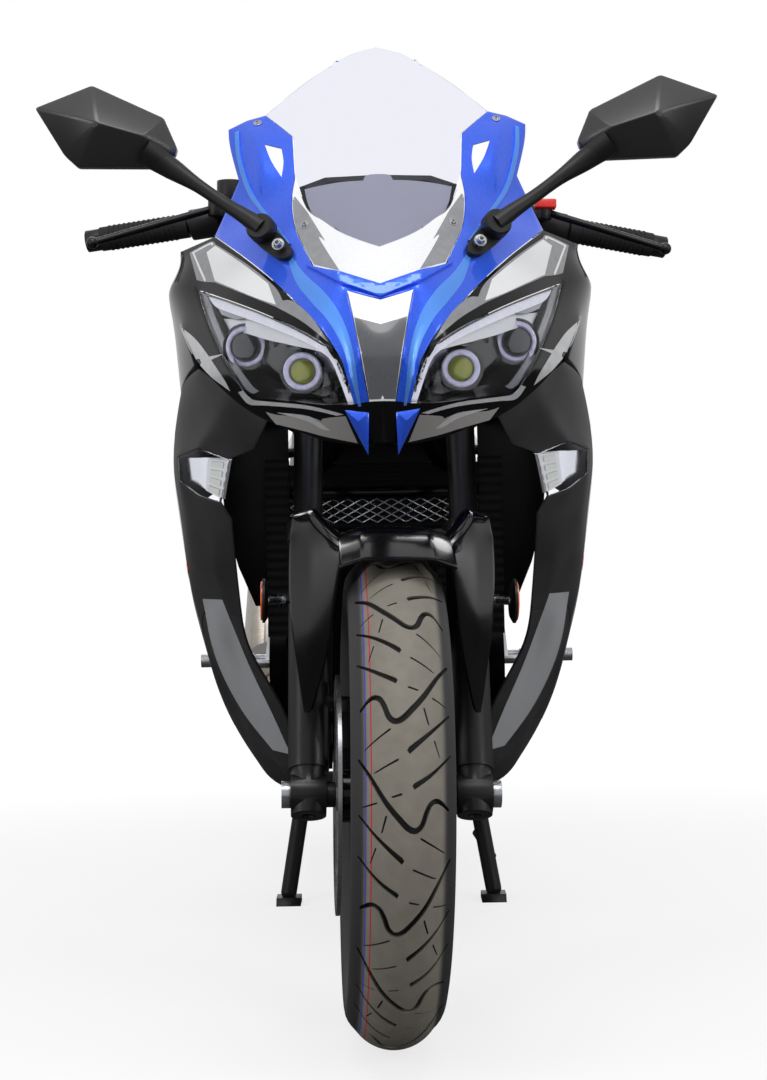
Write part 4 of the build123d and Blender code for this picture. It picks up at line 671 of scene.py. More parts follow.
# %% [markdown]
# ## Body panels
# The real panels are injection-moulded sheets that flow into each other, parted by fine shut lines. All of
# them are laid out here as one net of corner points, so that neighbours share their edges. The net is
# subdivided once as a whole, with hard creases where panels part, its corners are pulled until the smooth
# surface runs through the construction points, and only then is it cut into panels, given walls and
# rounded edges.

# %% Corner points of the panels, one half each: rows of (side, back, up)
SCREEN = [[(0, -57, 933), (24, -47, 943), (50, -27, 958)],
          [(0, -38, 957), (34, -28, 962), (68, -8, 974)],
          [(0, -18, 980), (44, -8, 982), (85, 12, 990)],
          [(0, 30, 1032), (54, 34, 1034), (100, 54, 1036)],
          [(0, 80, 1088), (58, 84, 1088), (104, 103, 1095)],
          [(0, 128, 1145), (72, 132, 1140), (139, 140, 1130)],
          [(0, 166, 1190), (50, 164, 1182), (94, 160, 1172)],
          [(0, 200, 1228), (27, 192, 1219), (51, 182, 1205)]]
WING = [[(139, 140, 1130), (163, 141, 1124), (187, 142, 1113)],
        [(104, 103, 1095), (150, 106, 1092), (184, 126, 1086)],
        [(100, 54, 1036), (142, 72, 1044), (172, 98, 1040)],
        [(104, 30, 1004), (150, 64, 1004), (190, 102, 1001)],
        [(100, 5, 968), (150, 32, 962), (204, 109, 974)],
        [(88, -26, 938), (126, -2, 938), (161, 31, 935)],
        [(77, -53, 912), (100, -44, 905), (121, -34, 895)],
        [(46, -84, 897), (66, -86, 876), (83, -87, 852)],
        [(38, -98, 878), (50, -105, 850), (61, -109, 824)],
        [(30, -117, 838), (38, -120, 818), (45, -120, 796)],
        [(24, -127, 803), (31, -124, 786), (37, -116, 767)],
        [(15, -116, 749), (24, -114, 748), (32, -111, 747)]]
WING_INNER = [row[0] for row in WING]
WING_OUTER = [row[2] for row in WING]
SHIELD = [[SCREEN[3][2], SCREEN[2][2], SCREEN[1][2]] + SCREEN[0][::-1], WING_INNER[3:8] + [(0, -97, 881)]]
CHEVRON = [[WING_INNER[7], (0, -97, 881)], [WING_INNER[8], (0, -106, 866)]]
CENTRE = [[(0, -106, 866), WING_INNER[8]], [(0, -121, 835), WING_INNER[9]],
          [(0, -132, 803), WING_INNER[10]], [(0, -121, 749), WING_INNER[11]]]
LENS = [[(226, 106, 908), (190, 42, 889), (152, -16, 869), (94, -86, 836), (55, -115, 809), WING_OUTER[10]],
        [(219, 84, 886), (192, 24, 850), (160, -26, 816), (101, -88, 796), (60, -113, 780), (35, -115, 757)],
        [(212, 66, 865), (186, 14, 808), (158, -18, 764), (100, -75, 754), (66, -97, 748), WING_OUTER[11]]]
BROW = [WING_OUTER[4:10], LENS[0]]
SIDE_TOP, SIDE_CORNER = (253, 174, 966), (268, 180, 920)
JAW = [[LENS[0][0]] + LENS[2],
       [SIDE_CORNER, (249, 131, 868), (225, 81, 816), (160, -4, 750), (105, -54, 724), (68, -72, 709),
        (27, -83, 702)]]
CHIN = [[(0, -121, 749), WING_INNER[11], WING[11][1], WING_OUTER[11]],
        [(0, -88, 700), (10, -87, 700), (18, -85, 701), (27, -83, 702)]]
FLANK = [[SIDE_TOP, (252, 270, 925), (236, 380, 880), (208, 490, 845)],
         [SIDE_CORNER, (270, 270, 885), (256, 380, 845), (228, 500, 810)],
         [(249, 131, 868), (268, 250, 842), (262, 380, 800), (238, 520, 770)],
         [(228, 120, 812), (262, 240, 795), (264, 380, 755), (244, 535, 725)]]
TEMPLE = [[WING_OUTER[4], SIDE_TOP], [LENS[0][0], SIDE_CORNER]]
FLOW = [[(138, 20, 738), (182, 50, 775)] + FLANK[3],
        [(158, 85, 708), (205, 95, 742), (246, 165, 752), (272, 250, 745), (274, 390, 700), (254, 560, 670)],
        [(192, 110, 697), (232, 130, 713), (264, 182, 704), (276, 262, 700), (278, 395, 650),
         (258, 580, 610)],
        [(205, 130, 644), (233, 150, 654), (261, 182, 674), (274, 270, 665), (276, 400, 610),
         (256, 595, 560)],
        [(192, 140, 622), (222, 170, 610), (254, 210, 618), (268, 290, 605), (270, 410, 550),
         (252, 610, 500)],
        [(191, 185, 570), (220, 205, 560), (248, 245, 565), (262, 315, 545), (262, 425, 490),
         (246, 620, 440)],
        [(190, 245, 495), (205, 258, 500), (228, 272, 515), (250, 350, 490), (250, 445, 430),
         (236, 630, 380)],
        [(184, 300, 450), (205, 330, 455), (232, 340, 462), (244, 400, 440), (238, 480, 375),
         (222, 640, 330)],
        [(160, 342, 398), (188, 372, 400), (218, 385, 412), (228, 440, 388), (220, 515, 325),
         (204, 650, 285)],
        [(140, 378, 350), (168, 405, 345), (198, 430, 355), (202, 480, 325), (190, 550, 270),
         (176, 660, 245)],
        [(126, 425, 290), (138, 455, 272), (150, 478, 262), (150, 530, 245), (140, 590, 225),
         (130, 670, 215)]]
KEEL = [FLOW[10][2:], [(0, 480, 262), (0, 535, 240), (0, 595, 220), (0, 675, 210)]]
SIGNAL_CELLS = [(2, 0), (2, 1)]


def cells_of(rows):
    """The four-cornered cells between neighbouring rows."""
    return [(upper[k], upper[k + 1], lower[k + 1], lower[k])
            for upper, lower in zip(rows, rows[1:]) for k in range(len(upper) - 1)]


def flow_band(first, last, skip=()):
    """The fairing's cells from one row to another, but for some."""
    columns = len(FLOW[0]) - 1
    cells = cells_of(FLOW)
    return [cells[row * columns + k] for row in range(first, last) for k in range(columns)
            if (row, k) not in skip]


PANEL_CELLS = {"windscreen": cells_of(SCREEN), "nose_shield": cells_of(SHIELD),
               "nose_centre": cells_of(CENTRE), "nose_cowl": cells_of(WING) + cells_of(CHEVRON),
               "headlight_lenses": cells_of(LENS),
               "upper_cowl": [cell for net in (BROW, JAW, CHIN, FLANK, TEMPLE) for cell in cells_of(net)],
               "side_fairings": flow_band(0, 6, SIGNAL_CELLS),
               "turn_signals": [cell for cell in flow_band(2, 3)
                                if cell not in flow_band(2, 3, SIGNAL_CELLS)],
               "lower_fairing": flow_band(6, 10) + cells_of(KEEL)}


# %% Lines and directions in a net
def line_of(rows, column=None, row=None):
    """Pairs of neighbouring points down a column or along a row."""
    run = [r[column] for r in rows] if row is None else rows[row]
    return list(zip(run, run[1:]))


def spot_of(point, mirror=False):
    """A net point as a key that doubled points share, or its image across the centre plane."""
    return tuple(round(v, 3) + 0.0 for v in ((-point[0], point[1], point[2]) if mirror else point))


def heart_at(side, back, up):
    """A heart for round bodies: one point that every cell faces away from."""
    return lambda middle: Vector((side, back, up))


def facing(cell, heart):
    """The cell without doubled corners, counter-clockwise as seen from outside."""
    points = [p for k, p in enumerate(cell) if p != cell[k - 1]]
    spots = [Vector(p) for p in points]
    normal = sum(((second - spots[0]).cross(third - spots[0]) for second, third in zip(spots[1:], spots[2:])),
                 Vector())
    middle = sum(spots, Vector()) / len(spots)
    return points[::-1] if normal.dot(middle - heart(middle)) < 0 else points


# %% Smooth skins from nets
CORNER_TURN, PULL_SHARE = 24, 0.85


def net_mesh(name, panels, heart):
    """Both halves of all panels as one plain mesh that knows each face's panel, with its table of points."""
    index, places, faces, owners = {}, [], [], []
    for number, cells in enumerate(panels.values()):
        for cell in cells:
            half = facing(cell, heart)
            for corners in (half, [(-side, back, up) for side, back, up in half[::-1]]):
                for point in corners:
                    if spot_of(point) not in index:
                        index[spot_of(point)] = len(places)
                        places.append(at(*point))
                faces.append([index[spot_of(point)] for point in corners])
                owners.append(number)
    obj = mesh_object(name, places, faces)
    obj.data.attributes.new("panel", "INT", "FACE").data.foreach_set("value", owners)
    return obj, index, owners


def mark_creases(obj, index, owners, creases):
    """Hard edges where panels part, softer ones along named lines, and hard corners where either turns."""
    mesh = obj.data
    sides, uses = {}, {}
    for face, number in zip(mesh.polygons, owners):
        for key in face.edge_keys:
            sides.setdefault(key, set()).add(number)
            uses[key] = uses.get(key, 0) + 1
    hard = {key: 1.0 for key, numbers in sides.items() if len(numbers) > 1}
    for pairs, amount in creases:
        for pair in pairs:
            for mirror in (False, True):
                key = tuple(sorted(index[spot_of(p, mirror)] for p in pair))
                hard[key] = max(hard.get(key, 0), amount)
    crease = mesh.attributes.new("crease_edge", "FLOAT", "EDGE")
    for edge in mesh.edges:
        crease.data[edge.index].value = hard.get(tuple(sorted(edge.vertices)), 0.0)
    lines = {}
    borders = [key for key, count in uses.items() if count == 1]
    for key in [key for key, amount in hard.items() if amount >= 1.0] + borders:
        for end, other in (key, key[::-1]):
            lines.setdefault(end, []).append(mesh.vertices[other].co - mesh.vertices[end].co)
    corner = mesh.attributes.new("crease_vert", "FLOAT", "POINT")
    for end, runs in lines.items():
        if len(runs) == 2 and runs[0].angle(runs[1]) < radians(180 - CORNER_TURN):
            corner.data[end].value = 1.0


def smooth_net(name, panels, creases, heart, levels=3, rounds=4):
    """Both halves of all panels as one subdivided surface through the net's corner points."""
    obj, index, owners = net_mesh(name, panels, heart)
    mark_creases(obj, index, owners, creases)
    modify(obj, "SUBSURF", levels=levels, render_levels=levels)
    goals = [v.co.copy() for v in obj.data.vertices]
    for _ in range(rounds):
        smooth = evaluated(obj).data
        for vertex, goal in zip(obj.data.vertices, goals):
            vertex.co += (goal - smooth.vertices[vertex.index].co) * PULL_SHARE
        obj.data.update()
    return applied(obj)


# %% Cutting a skin into panels
SHUT_LINE, RIM = 0.6 * MM, 0.7 * MM


def cut_panel(skin, number, name, wall, gap=SHUT_LINE, rim=RIM):
    """One panel of a smooth skin: drawn back from its neighbours, with a wall and rounded rims."""
    obj = placed(name, skin.data.copy())
    with edited(obj) as shape:
        owner = shape.faces.layers.int["panel"]
        bmesh.ops.delete(shape, geom=[f for f in shape.faces if f[owner] != number], context="FACES")
        moves = {}
        for edge in (edge for edge in shape.edges if edge.is_boundary):
            start, end = (vert.co for vert in edge.verts)
            inward = edge.link_faces[0].calc_center_median() - (start + end) / 2
            along = (end - start).normalized()
            inward = (inward - along * inward.dot(along)).normalized()
            for vert in edge.verts:
                moves.setdefault(vert, []).append(inward)
        for vert, inwards in moves.items():
            vert.co += sum(inwards, Vector()) / len(inwards) * gap
    walled(obj, wall)
    if rim:
        soften(obj, rim, 2, 55)
    return shade(obj, 40)


def tree_of(piece):
    """A search tree of a piece's faces."""
    return BVHTree.FromPolygons([v.co.copy() for v in piece.data.vertices],
                                [list(p.vertices) for p in piece.data.polygons])


# %% The nose panels: wall, finish and slot
NOSE_CREASES = [(line_of(WING, column=1), 0.55), (line_of(WING, row=4), 0.25),
                (line_of(FLOW, column=1), 0.45), (line_of(FLOW, column=2), 0.2), (line_of(BROW, row=0), 0.6),
                (line_of(FLANK, row=1), 0.5), (line_of(TEMPLE, row=1), 0.6), (line_of(JAW, row=0)[:1], 0.5),
                (line_of(CHEVRON, row=0), 0.8), (line_of(CENTRE, row=1), 0.4),
                ([(WING[4][2], SIDE_TOP)], 0.8)]
PANEL_WALL, CLEAR_WALL = 3.5 * MM, 2.8 * MM
PANEL_FINISHES = {"windscreen": (CLEAR_WALL, ACRYLIC, "clear_screen"),
                  "nose_shield": (PANEL_WALL, WHITE, "pearl_white"),
                  "nose_centre": (PANEL_WALL, WHITE, "pearl_white"),
                  "nose_cowl": (PANEL_WALL, BLUE, "metallic_blue"),
                  "headlight_lenses": (CLEAR_WALL, POLYCARBONATE, "lamp_glass"),
                  "upper_cowl": (PANEL_WALL, GLOSS, "gloss_black"),
                  "side_fairings": (PANEL_WALL, CHARCOAL, "charcoal_plastic"),
                  "turn_signals": (PANEL_WALL, POLYCARBONATE, "clear_lens"),
                  "lower_fairing": (PANEL_WALL, CHARCOAL, "charcoal_plastic")}
nose_skin = smooth_net("nose_skin", PANEL_CELLS, NOSE_CREASES, heart_at(0, 400, 700))
panels = {}
for number, (name, (wall, material, slot)) in enumerate(PANEL_FINISHES.items()):
    panels[name] = dress(cut_panel(nose_skin, number, name + "_skin", wall, rim=0.6 * MM), material)
print("panels", {name: len(panel.data.polygons) for name, panel in panels.items()})
SKIN = tree_of(nose_skin)
bpy.data.objects.remove(nose_skin)

for name, (wall, material, slot) in PANEL_FINISHES.items():
    ready(panels[name], "chassis", slot, name)

# %% [markdown]
# ## Tyre tread
# A tread is moulded: the drum mould presses grooves into the crown, and the same short pattern repeats
# round the tyre. One pattern length is drawn flat as strokes, triangulated so that land and groove share
# exact edges, sunk where the grooves are, and bent onto the tyre's section. A small Geometry Nodes tree
# then repeats it round the axle.

# %% Smooth lines through a few points
def eased(run, k, t):
    """A point part of the way from point k of a run to the next, on a smooth line through all of them."""
    around = (run[max(0, min(len(run) - 1, k + j))] for j in (-1, 0, 1, 2))
    return tuple(0.5 * (2 * b + (c - a) * t + (2 * a - 5 * b + 4 * c - d) * t * t
                        + (3 * b - a - 3 * c + d) * t ** 3) for a, b, c, d in zip(*around))


def path(*runs, steps=6):
    """A closed outline from runs of points: each run is one smooth line, and runs meet at corners."""
    return [eased(run, k, step / steps) for run in runs for k in range(len(run) - 1)
            for step in range(steps if len(run) > 2 else 1)]


# %% Tread strokes: (along, across) in mm from the low point of the big groove, with half widths
BIG_GROOVE = [(73, -57, 1.6), (52, -39, 2.6), (27.6, -21.4, 3.0), (10.4, -6, 3.2), (2, 3, 3.3), (0, 11, 3.2),
              (5.6, 17.6, 3.1), (18, 22.6, 3.0), (26.5, 28.5, 2.9), (28, 39, 2.7), (18, 55, 1.6)]
LONG_CUTS = [[(13, -57, 1.2), (-12.6, -25.7, 2.2), (-31.2, -2.3, 3.2)],
             [(-32, -58, 1.2), (-54, -28, 2.2), (-66.3, -7.4, 3.0)]]
SLITS = [[(101, -16, 1.1), (82, -48, 0.7)], [(70, -8, 1.1), (57, -35, 0.8)],
         [(36, -4.5, 1.1), (33, -15, 1.0)], [(27, -32, 1.0), (22, -52, 0.7)],
         [(14, -21, 1.1), (-3, -26, 1.0)], [(-19, -33, 1.0), (-36, -40, 0.7)]]
DRAWN_HALF = 109.0
BIG_DEPTH, CUT_DEPTH, SLIT_DEPTH = 5.0 * MM, 4.5 * MM, 2.2 * MM
STROKES = ([(BIG_GROOVE, BIG_DEPTH)] + [(cut, CUT_DEPTH) for cut in LONG_CUTS]
           + [(slit, SLIT_DEPTH) for slit in SLITS])


def stroke_outline(stroke, steps=5):
    """A closed outline round a smooth line whose width changes, both ends rounded."""
    centre = [eased(stroke, k, step / steps) for k in range(len(stroke) - 1) for step in range(steps)]
    centre.append(stroke[-1])
    last = len(centre) - 1
    left, right = [], []
    for k, (along, across, half) in enumerate(centre):
        run = (Vector(centre[min(k + 1, last)][:2]) - Vector(centre[max(k - 1, 0)][:2])).normalized()
        side = Vector((-run.y, run.x)) * half
        spot = Vector((along, across))
        if k == 0:
            left.append(spot - run * half)
        if k == last:
            right.append(spot + run * half)
        left.append(spot + side)
        right.append(spot - side)
    return left + right[::-1]


def tread_outlines(pitch):
    """All the groove outlines that touch one pattern length, in metres, with their depths."""
    half = pitch / 2
    grow = half / (DRAWN_HALF * MM)
    found = []
    for stroke, depth in STROKES:
        outline = stroke_outline(stroke)
        for shift in range(-3, 5):
            flipped = -1 if shift % 2 else 1
            moved = [Vector((p.x * MM * grow + half * shift, p.y * MM * flipped)) for p in outline]
            if sum(a.cross(b) for a, b in zip(moved, moved[1:] + moved[:1])) < 0:
                moved.reverse()
            if max(p.x for p in moved) > 0 and min(p.x for p in moved) < pitch:
                found.append((moved, depth))
    return found


# %% The tyre's section
CROWN_HALF_SHARE, SHOULDER_DROP_SHARE = 0.78, 0.4
BEAD_R = 0.223
WALL_STEPS = 24


def tyre_section(outer_r, width, rim_width):
    """Half the outside of the tyre, from the crown to the bead, as a function of distance across."""
    shoulder = Vector((width / 2 * CROWN_HALF_SHARE, outer_r - width / 2 * SHOULDER_DROP_SHARE))
    drop = outer_r - shoulder.y
    arc = (shoulder.x ** 2 + drop ** 2) / (2 * drop)
    crown_length = arc * asin(shoulder.x / arc)
    bead = Vector((rim_width / 2, BEAD_R))
    widest = Vector((width / 2, (bead.y + shoulder.y) / 2))
    line = [(1 - t) * (1 - 2 * t) * shoulder + 4 * t * (1 - t) * widest + t * (2 * t - 1) * bead
            for t in (k / WALL_STEPS for k in range(WALL_STEPS + 1))]
    lengths = [0.0]
    for start, end in zip(line, line[1:]):
        lengths.append(lengths[-1] + (end - start).length)

    def section(across):
        """Sideways place, radius and outward direction at a distance across from the crown."""
        far = abs(across)
        sign = 1 if across >= 0 else -1
        if far <= crown_length:
            turn = far / arc
            return sign * arc * sin(turn), outer_r - arc * (1 - cos(turn)), sign * sin(turn), cos(turn)
        rest = min(far - crown_length, lengths[-1])
        k = next((j for j, length in enumerate(lengths[1:-1]) if length >= rest), WALL_STEPS - 1)
        share = (rest - lengths[k]) / (lengths[k + 1] - lengths[k])
        spot = line[k].lerp(line[k + 1], share)
        run = (line[k + 1] - line[k]).normalized()
        return sign * spot.x, spot.y, -sign * run.y, run.x

    return section, crown_length + lengths[-1]


# %% Bend the pattern onto the section
GROOVE_RUN_OUT, RUN_OUT_LENGTH = 0.0595, 0.006
ALONG_STEP, ACROSS_HALF_STEPS, FINE_STEPS = 0.0075, 17, 8
LINING_STEPS, LINING_WALL = 12, 0.009


def pattern_grid(pitch, reach):
    """Spots that fill one pattern length evenly, in closer rows over the crown."""
    rows = [reach * k / ACROSS_HALF_STEPS for k in range(-ACROSS_HALF_STEPS, ACROSS_HALF_STEPS + 1)]
    crown = range(ACROSS_HALF_STEPS - FINE_STEPS, ACROSS_HALF_STEPS + FINE_STEPS)
    rows += [(rows[k] + rows[k + 1]) / 2 for k in crown]
    steps = round(pitch / ALONG_STEP)
    return [Vector((pitch * k / steps, across)) for across in rows for k in range(steps + 1)]


def tread_pattern(name, outer_r, width, rim_width, repeats):
    """One pattern length of the whole tyre, bent about the X axis, from bead to bead, with its lining."""
    pitch = 2 * pi * outer_r / repeats
    section, reach = tyre_section(outer_r, width, rim_width)
    outlines = tread_outlines(pitch)
    points = [Vector(p) for p in ((0, -reach), (pitch, -reach), (pitch, reach), (0, reach))]
    loops = [[0, 1, 2, 3]]
    for outline, depth in outlines:
        loops.append(list(range(len(points), len(points) + len(outline))))
        points += outline
    points += pattern_grid(pitch, reach)
    spots, _, triangles, _, _, origins = delaunay_2d_cdt(points, [], loops, 1, 1e-7)
    heights, places, sunk, maps = {}, [], [], []

    def bend(along, across, sink, mark, spot):
        """Puts a point on the tyre, sunk by some depth; mark says whether it lies in a groove."""
        side, radius, out_side, out_radius = section(across)
        angle = 2 * pi / repeats * along / pitch
        radius -= sink * out_radius
        places.append(Vector((side - sink * out_side, -radius * cos(angle), radius * sin(angle))))
        sunk.append(mark)
        maps.append(spot)
        return len(places) - 1

    def corner(number, depth):
        if (number, depth) not in heights:
            along, across = spots[number]
            fade = max(0.0, min(1.0, (GROOVE_RUN_OUT - abs(across)) / RUN_OUT_LENGTH))
            heights[number, depth] = bend(along, across, depth * fade, 1.0 if depth else 0.0, (along, across))
        return heights[number, depth]

    faces, edge_depths = [], {}
    for triangle, origin in zip(triangles, origins):
        if 0 in origin:
            depth = max([outlines[j - 1][1] for j in origin if j > 0], default=0.0)
            faces.append([corner(v, depth) for v in triangle])
            for pair in zip(triangle, triangle[1:] + triangle[:1]):
                edge_depths[pair] = depth
    for (start, end), depth in edge_depths.items():
        other = edge_depths.get((end, start))
        if other is not None and other > depth:
            faces.append([corner(end, depth), corner(start, depth), corner(start, other), corner(end, other)])
    steps = round(pitch / ALONG_STEP)
    first = len(places)
    for j in range(LINING_STEPS + 1):
        across = reach * (1 - 2 * j / LINING_STEPS)
        for k in range(steps + 1):
            bend(pitch * k / steps, across, 0.0 if j in (0, LINING_STEPS) else LINING_WALL, 0.0,
                 (pitch * k / steps, reach))
    row = steps + 1
    faces += [[first + v for v in (j * row + k, j * row + k + 1, (j + 1) * row + k + 1, (j + 1) * row + k)]
              for j in range(LINING_STEPS) for k in range(steps)]
    obj = mesh_object(name, places, faces)
    obj.data.attributes.new("groove", "FLOAT", "POINT").data.foreach_set("value", sunk)
    layer = obj.data.uv_layers.new(name="tread_map")
    for loop in obj.data.loops:
        layer.data[loop.index].uv = maps[loop.vertex_index]
    return obj


# %% Geometry Nodes: how every tree here starts and ends, and how it is run
def open_tree(name, **inputs):
    """A tree with a mesh in, some named inputs, a finish and a mesh out; returns it with its input node."""
    tree = bpy.data.node_groups.new(name, "GeometryNodeTree")
    kinds = {"Geometry": "Geometry", **inputs, "Finish": "Material"}
    for socket, kind in kinds.items():
        tree.interface.new_socket(socket, in_out="INPUT", socket_type="NodeSocket" + kind)
    tree.interface.new_socket("Geometry", in_out="OUTPUT", socket_type="NodeSocketGeometry")
    return tree, add(tree, "NodeGroupInput")


def close_tree(tree, given, copies, weld=None):
    """Makes the copies real, welds them where they meet, and gives them their finish."""
    real = add(tree, "GeometryNodeRealizeInstances", {0: copies.outputs[0]})
    if weld:
        real = add(tree, "GeometryNodeMergeByDistance", {"Geometry": real.outputs[0], "Distance": weld})
    paint = add(tree, "GeometryNodeSetMaterial", {"Geometry": real.outputs[0],
                                                  "Material": given.outputs["Finish"]})
    add(tree, "NodeGroupOutput", {0: paint.outputs[0]})
    return tree


def run_tree(obj, tree, **values):
    """Runs a node tree on a piece and keeps the result as its mesh."""
    modifier = obj.modifiers.new("Nodes", "NODES")
    modifier.node_group = tree
    for item in tree.interface.items_tree:
        if item.in_out == "INPUT" and item.name in values:
            modifier[item.identifier] = values[item.name]
    applied(obj)
    obj.data.attributes["material_index"].data.foreach_set("value", [0] * len(obj.data.polygons))
    return dress(obj, values["Finish"])


# %% Repeat the pattern round the axle
def ring_tree():
    """Copies of the piece's own mesh turned about the X axis, joined where they meet."""
    tree, given = open_tree("ring_of_copies", Copies="Int", Weld="Float")
    marks = add(tree, "GeometryNodeMeshLine", {"Count": given.outputs["Copies"], "Offset": (0, 0, 0)})
    number = add(tree, "GeometryNodeInputIndex")
    step = add(tree, "ShaderNodeMath", {0: 2 * pi, 1: given.outputs["Copies"]}, operation="DIVIDE")
    turn = add(tree, "ShaderNodeMath", {0: number.outputs[0], 1: step.outputs[0]}, operation="MULTIPLY")
    angles = add(tree, "ShaderNodeCombineXYZ", {0: turn.outputs[0]})
    copies = add(tree, "GeometryNodeInstanceOnPoints", {"Points": marks.outputs[0],
                                                        "Instance": given.outputs["Geometry"],
                                                        "Rotation": angles.outputs[0]})
    return close_tree(tree, given, copies, given.outputs["Weld"])


RING = ring_tree()
# Tyres: node, outer radius, width, rim width, pattern lengths.
TYRES = [("front", 293, 112, 80, 8), ("rear", 314, 140, 104, 9)]
for end, outer_r, width, rim_width, repeats in TYRES:
    node = end + "_tyre"
    tyre = tread_pattern(node + "_tread", outer_r * MM, width * MM, rim_width * MM, repeats)
    run_tree(tyre, RING, Copies=repeats, Weld=0.05 * MM, Finish=TYRE)
    if end == "front":
        tyre.data.transform(Matrix.Translation(at(0, 0, outer_r)))
        steered(tyre)
    else:
        low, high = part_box(node)
        tyre.data.transform(Matrix.Translation((low + high) / 2))
    ready(shade(tyre, 40), end + "_wheel", "tyre_rubber", node)

# %% [markdown]
# ## Films and mouldings laid on a panel
# Decals are cut from printed film and pressed onto the paint; lamp trims follow the lens that covers them.
# Both are drawn as a flat outline seen from the front or from the side, filled with small triangles, and
# dropped along the line of sight onto the panel they belong to, so they share its curve.

# %% Laying an outline on a skin
FRONT, LEFT_SIDE = (LEFT, BACK), (BACK, -LEFT)
STAND_OFF = 2.0


def laid(name, surface, outline, material, lift=0.0, thick=0.3, view=FRONT, spacing=5.0):
    """A sheet of an outline in mm, laid at a height over a surface; a negative height is behind it."""
    flat = [Vector(p) for p in outline]
    points = []
    for start, end in zip(flat, flat[1:] + flat[:1]):
        parts = max(1, int((end - start).length / spacing))
        points += [start.lerp(end, k / parts) for k in range(parts)]
    border = list(range(len(points)))
    low, high = (Vector((pick(p.x for p in flat), pick(p.y for p in flat))) for pick in (min, max))
    columns, rows = (int(length / spacing) for length in high - low)
    points += [Vector((low.x + (i + (j % 2) * 0.5 - 0.25) * spacing, low.y + j * spacing))
               for i in range(1, columns + 1) for j in range(1, rows + 1)]
    spots, _, triangles, _, _, _ = delaunay_2d_cdt(points, [], [border], 1, 1e-4)
    across, look = view
    origin = ORIGIN if view is FRONT else BACK * FRONT_AXLE_Y
    places = []
    for spot in spots:
        flat_place = origin + (across * spot.x + UP * spot.y) * MM
        hit, normal, _, _ = surface.ray_cast(flat_place - look * STAND_OFF, look)
        if hit is None:
            beside = flat_place + BACK * FRONT_AXLE_Y if view is FRONT else flat_place
            hit, normal, _, _ = surface.find_nearest(beside)
        if normal.dot(look) > 0:
            normal = -normal
        places.append(hit + normal * lift * MM)
    return dress(shade(walled(mesh_object(name, places, triangles), thick * MM), 50), material)


# %% Plates, turned bodies, rods and limbs
def slab(name, first, second, material, bevel=0.0):
    """A closed plate between two equal rings of points, with softened edges."""
    count = len(first)
    faces = [list(range(count)), list(range(2 * count - 1, count - 1, -1))]
    faces += [[k, k + count, (k + 1) % count + count, (k + 1) % count] for k in range(count)]
    obj = outfaced(mesh_object(name, first + second, faces))
    if bevel:
        soften(obj, bevel * MM, 2, 30)
    return dress(shade(obj, 35), material)


def prism(name, outline, side_in, side_out, material, bevel=1.0):
    """A plate across the machine from an outline of (back, up)."""
    first, second = ([at(side, back, up) for back, up in outline] for side in (side_in, side_out))
    return slab(name, first, second, material, bevel)


def upright(name, outline, near, far, material, bevel=0.0):
    """A plate that faces the front, from an outline of (side, up) at two distances back."""
    first, second = ([at(side, back, up) for side, up in outline] for back in (near, far))
    return slab(name, first, second, material, bevel)


def turned(name, profile, place, axis, material, segments=48, angle=35):
    """A body turned about an axis: profile of (radius, along) in mm, from its start to its end."""
    turn = Vector(axis).normalized().to_track_quat("Z", "Y").to_matrix()
    points, rings, faces = [], [], []
    for radius, along in profile:
        ring = [place + turn @ Vector((radius * cos(a), radius * sin(a), along)) * MM
                for a in turns(segments if radius > 0 else 1)]
        rings.append(range(len(points), len(points) + len(ring)))
        points += ring
    for first, second in zip(rings, rings[1:]):
        for k in range(segments):
            cell = [first[k % len(first)], first[(k + 1) % len(first)], second[(k + 1) % len(second)],
                    second[k % len(second)]]
            cell = [v for j, v in enumerate(cell) if v != cell[j - 1]]
            if len(cell) > 2:
                faces.append(cell)
    return dress(shade(outfaced(mesh_object(name, points, faces)), angle), material)


def rod(name, start, end, radius, material, segments=24, bevel=0.8):
    """A plain round rod with softened ends."""
    length = (end - start).length / MM
    bevel = min(bevel, radius / 2, length / 3)
    return turned(name, [(0, 0), (radius - bevel, 0), (radius, bevel), (radius, length - bevel),
                         (radius - bevel, length), (0, length)], start, end - start, material, segments)


def tube(name, points, radii, material, segments=8, angle=60):
    """A closed round limb through a run of places, with a radius in mm at each."""
    last = len(points) - 1
    places = []
    for k, (point, radius) in enumerate(zip(points, radii)):
        run = points[min(k + 1, last)] - points[max(k - 1, 0)]
        across = run.cross(UP).normalized()
        over = across.cross(run).normalized()
        places += [point + (across * cos(a) + over * sin(a)) * radius * MM for a in turns(segments)]
    faces = [[k * segments + j, k * segments + (j + 1) % segments, (k + 1) * segments + (j + 1) % segments,
              (k + 1) * segments + j] for k in range(last) for j in range(segments)]
    faces += [list(range(segments)), list(range(last * segments, (last + 1) * segments))]
    return dress(shade(outfaced(mesh_object(name, places, faces)), angle), material)


# %% [markdown]
# ## Lamps
# Each headlamp is a black plated bowl behind a clear moulded lens. An opal light guide follows the lens's
# top and inner edges, a silver brow shades two projectors, and each projector is a glass bull's-eye in a
# lavender ring. The bowl is the lens's own skin pushed back, so that it meets the lens all the way round.

# %% Lamp bowls
BOWL_LIP, BOWL_DEPTH, BOWL_SLOPE, BOWL_WALL = 4.5 * MM, 46 * MM, 16 * MM, 2 * MM


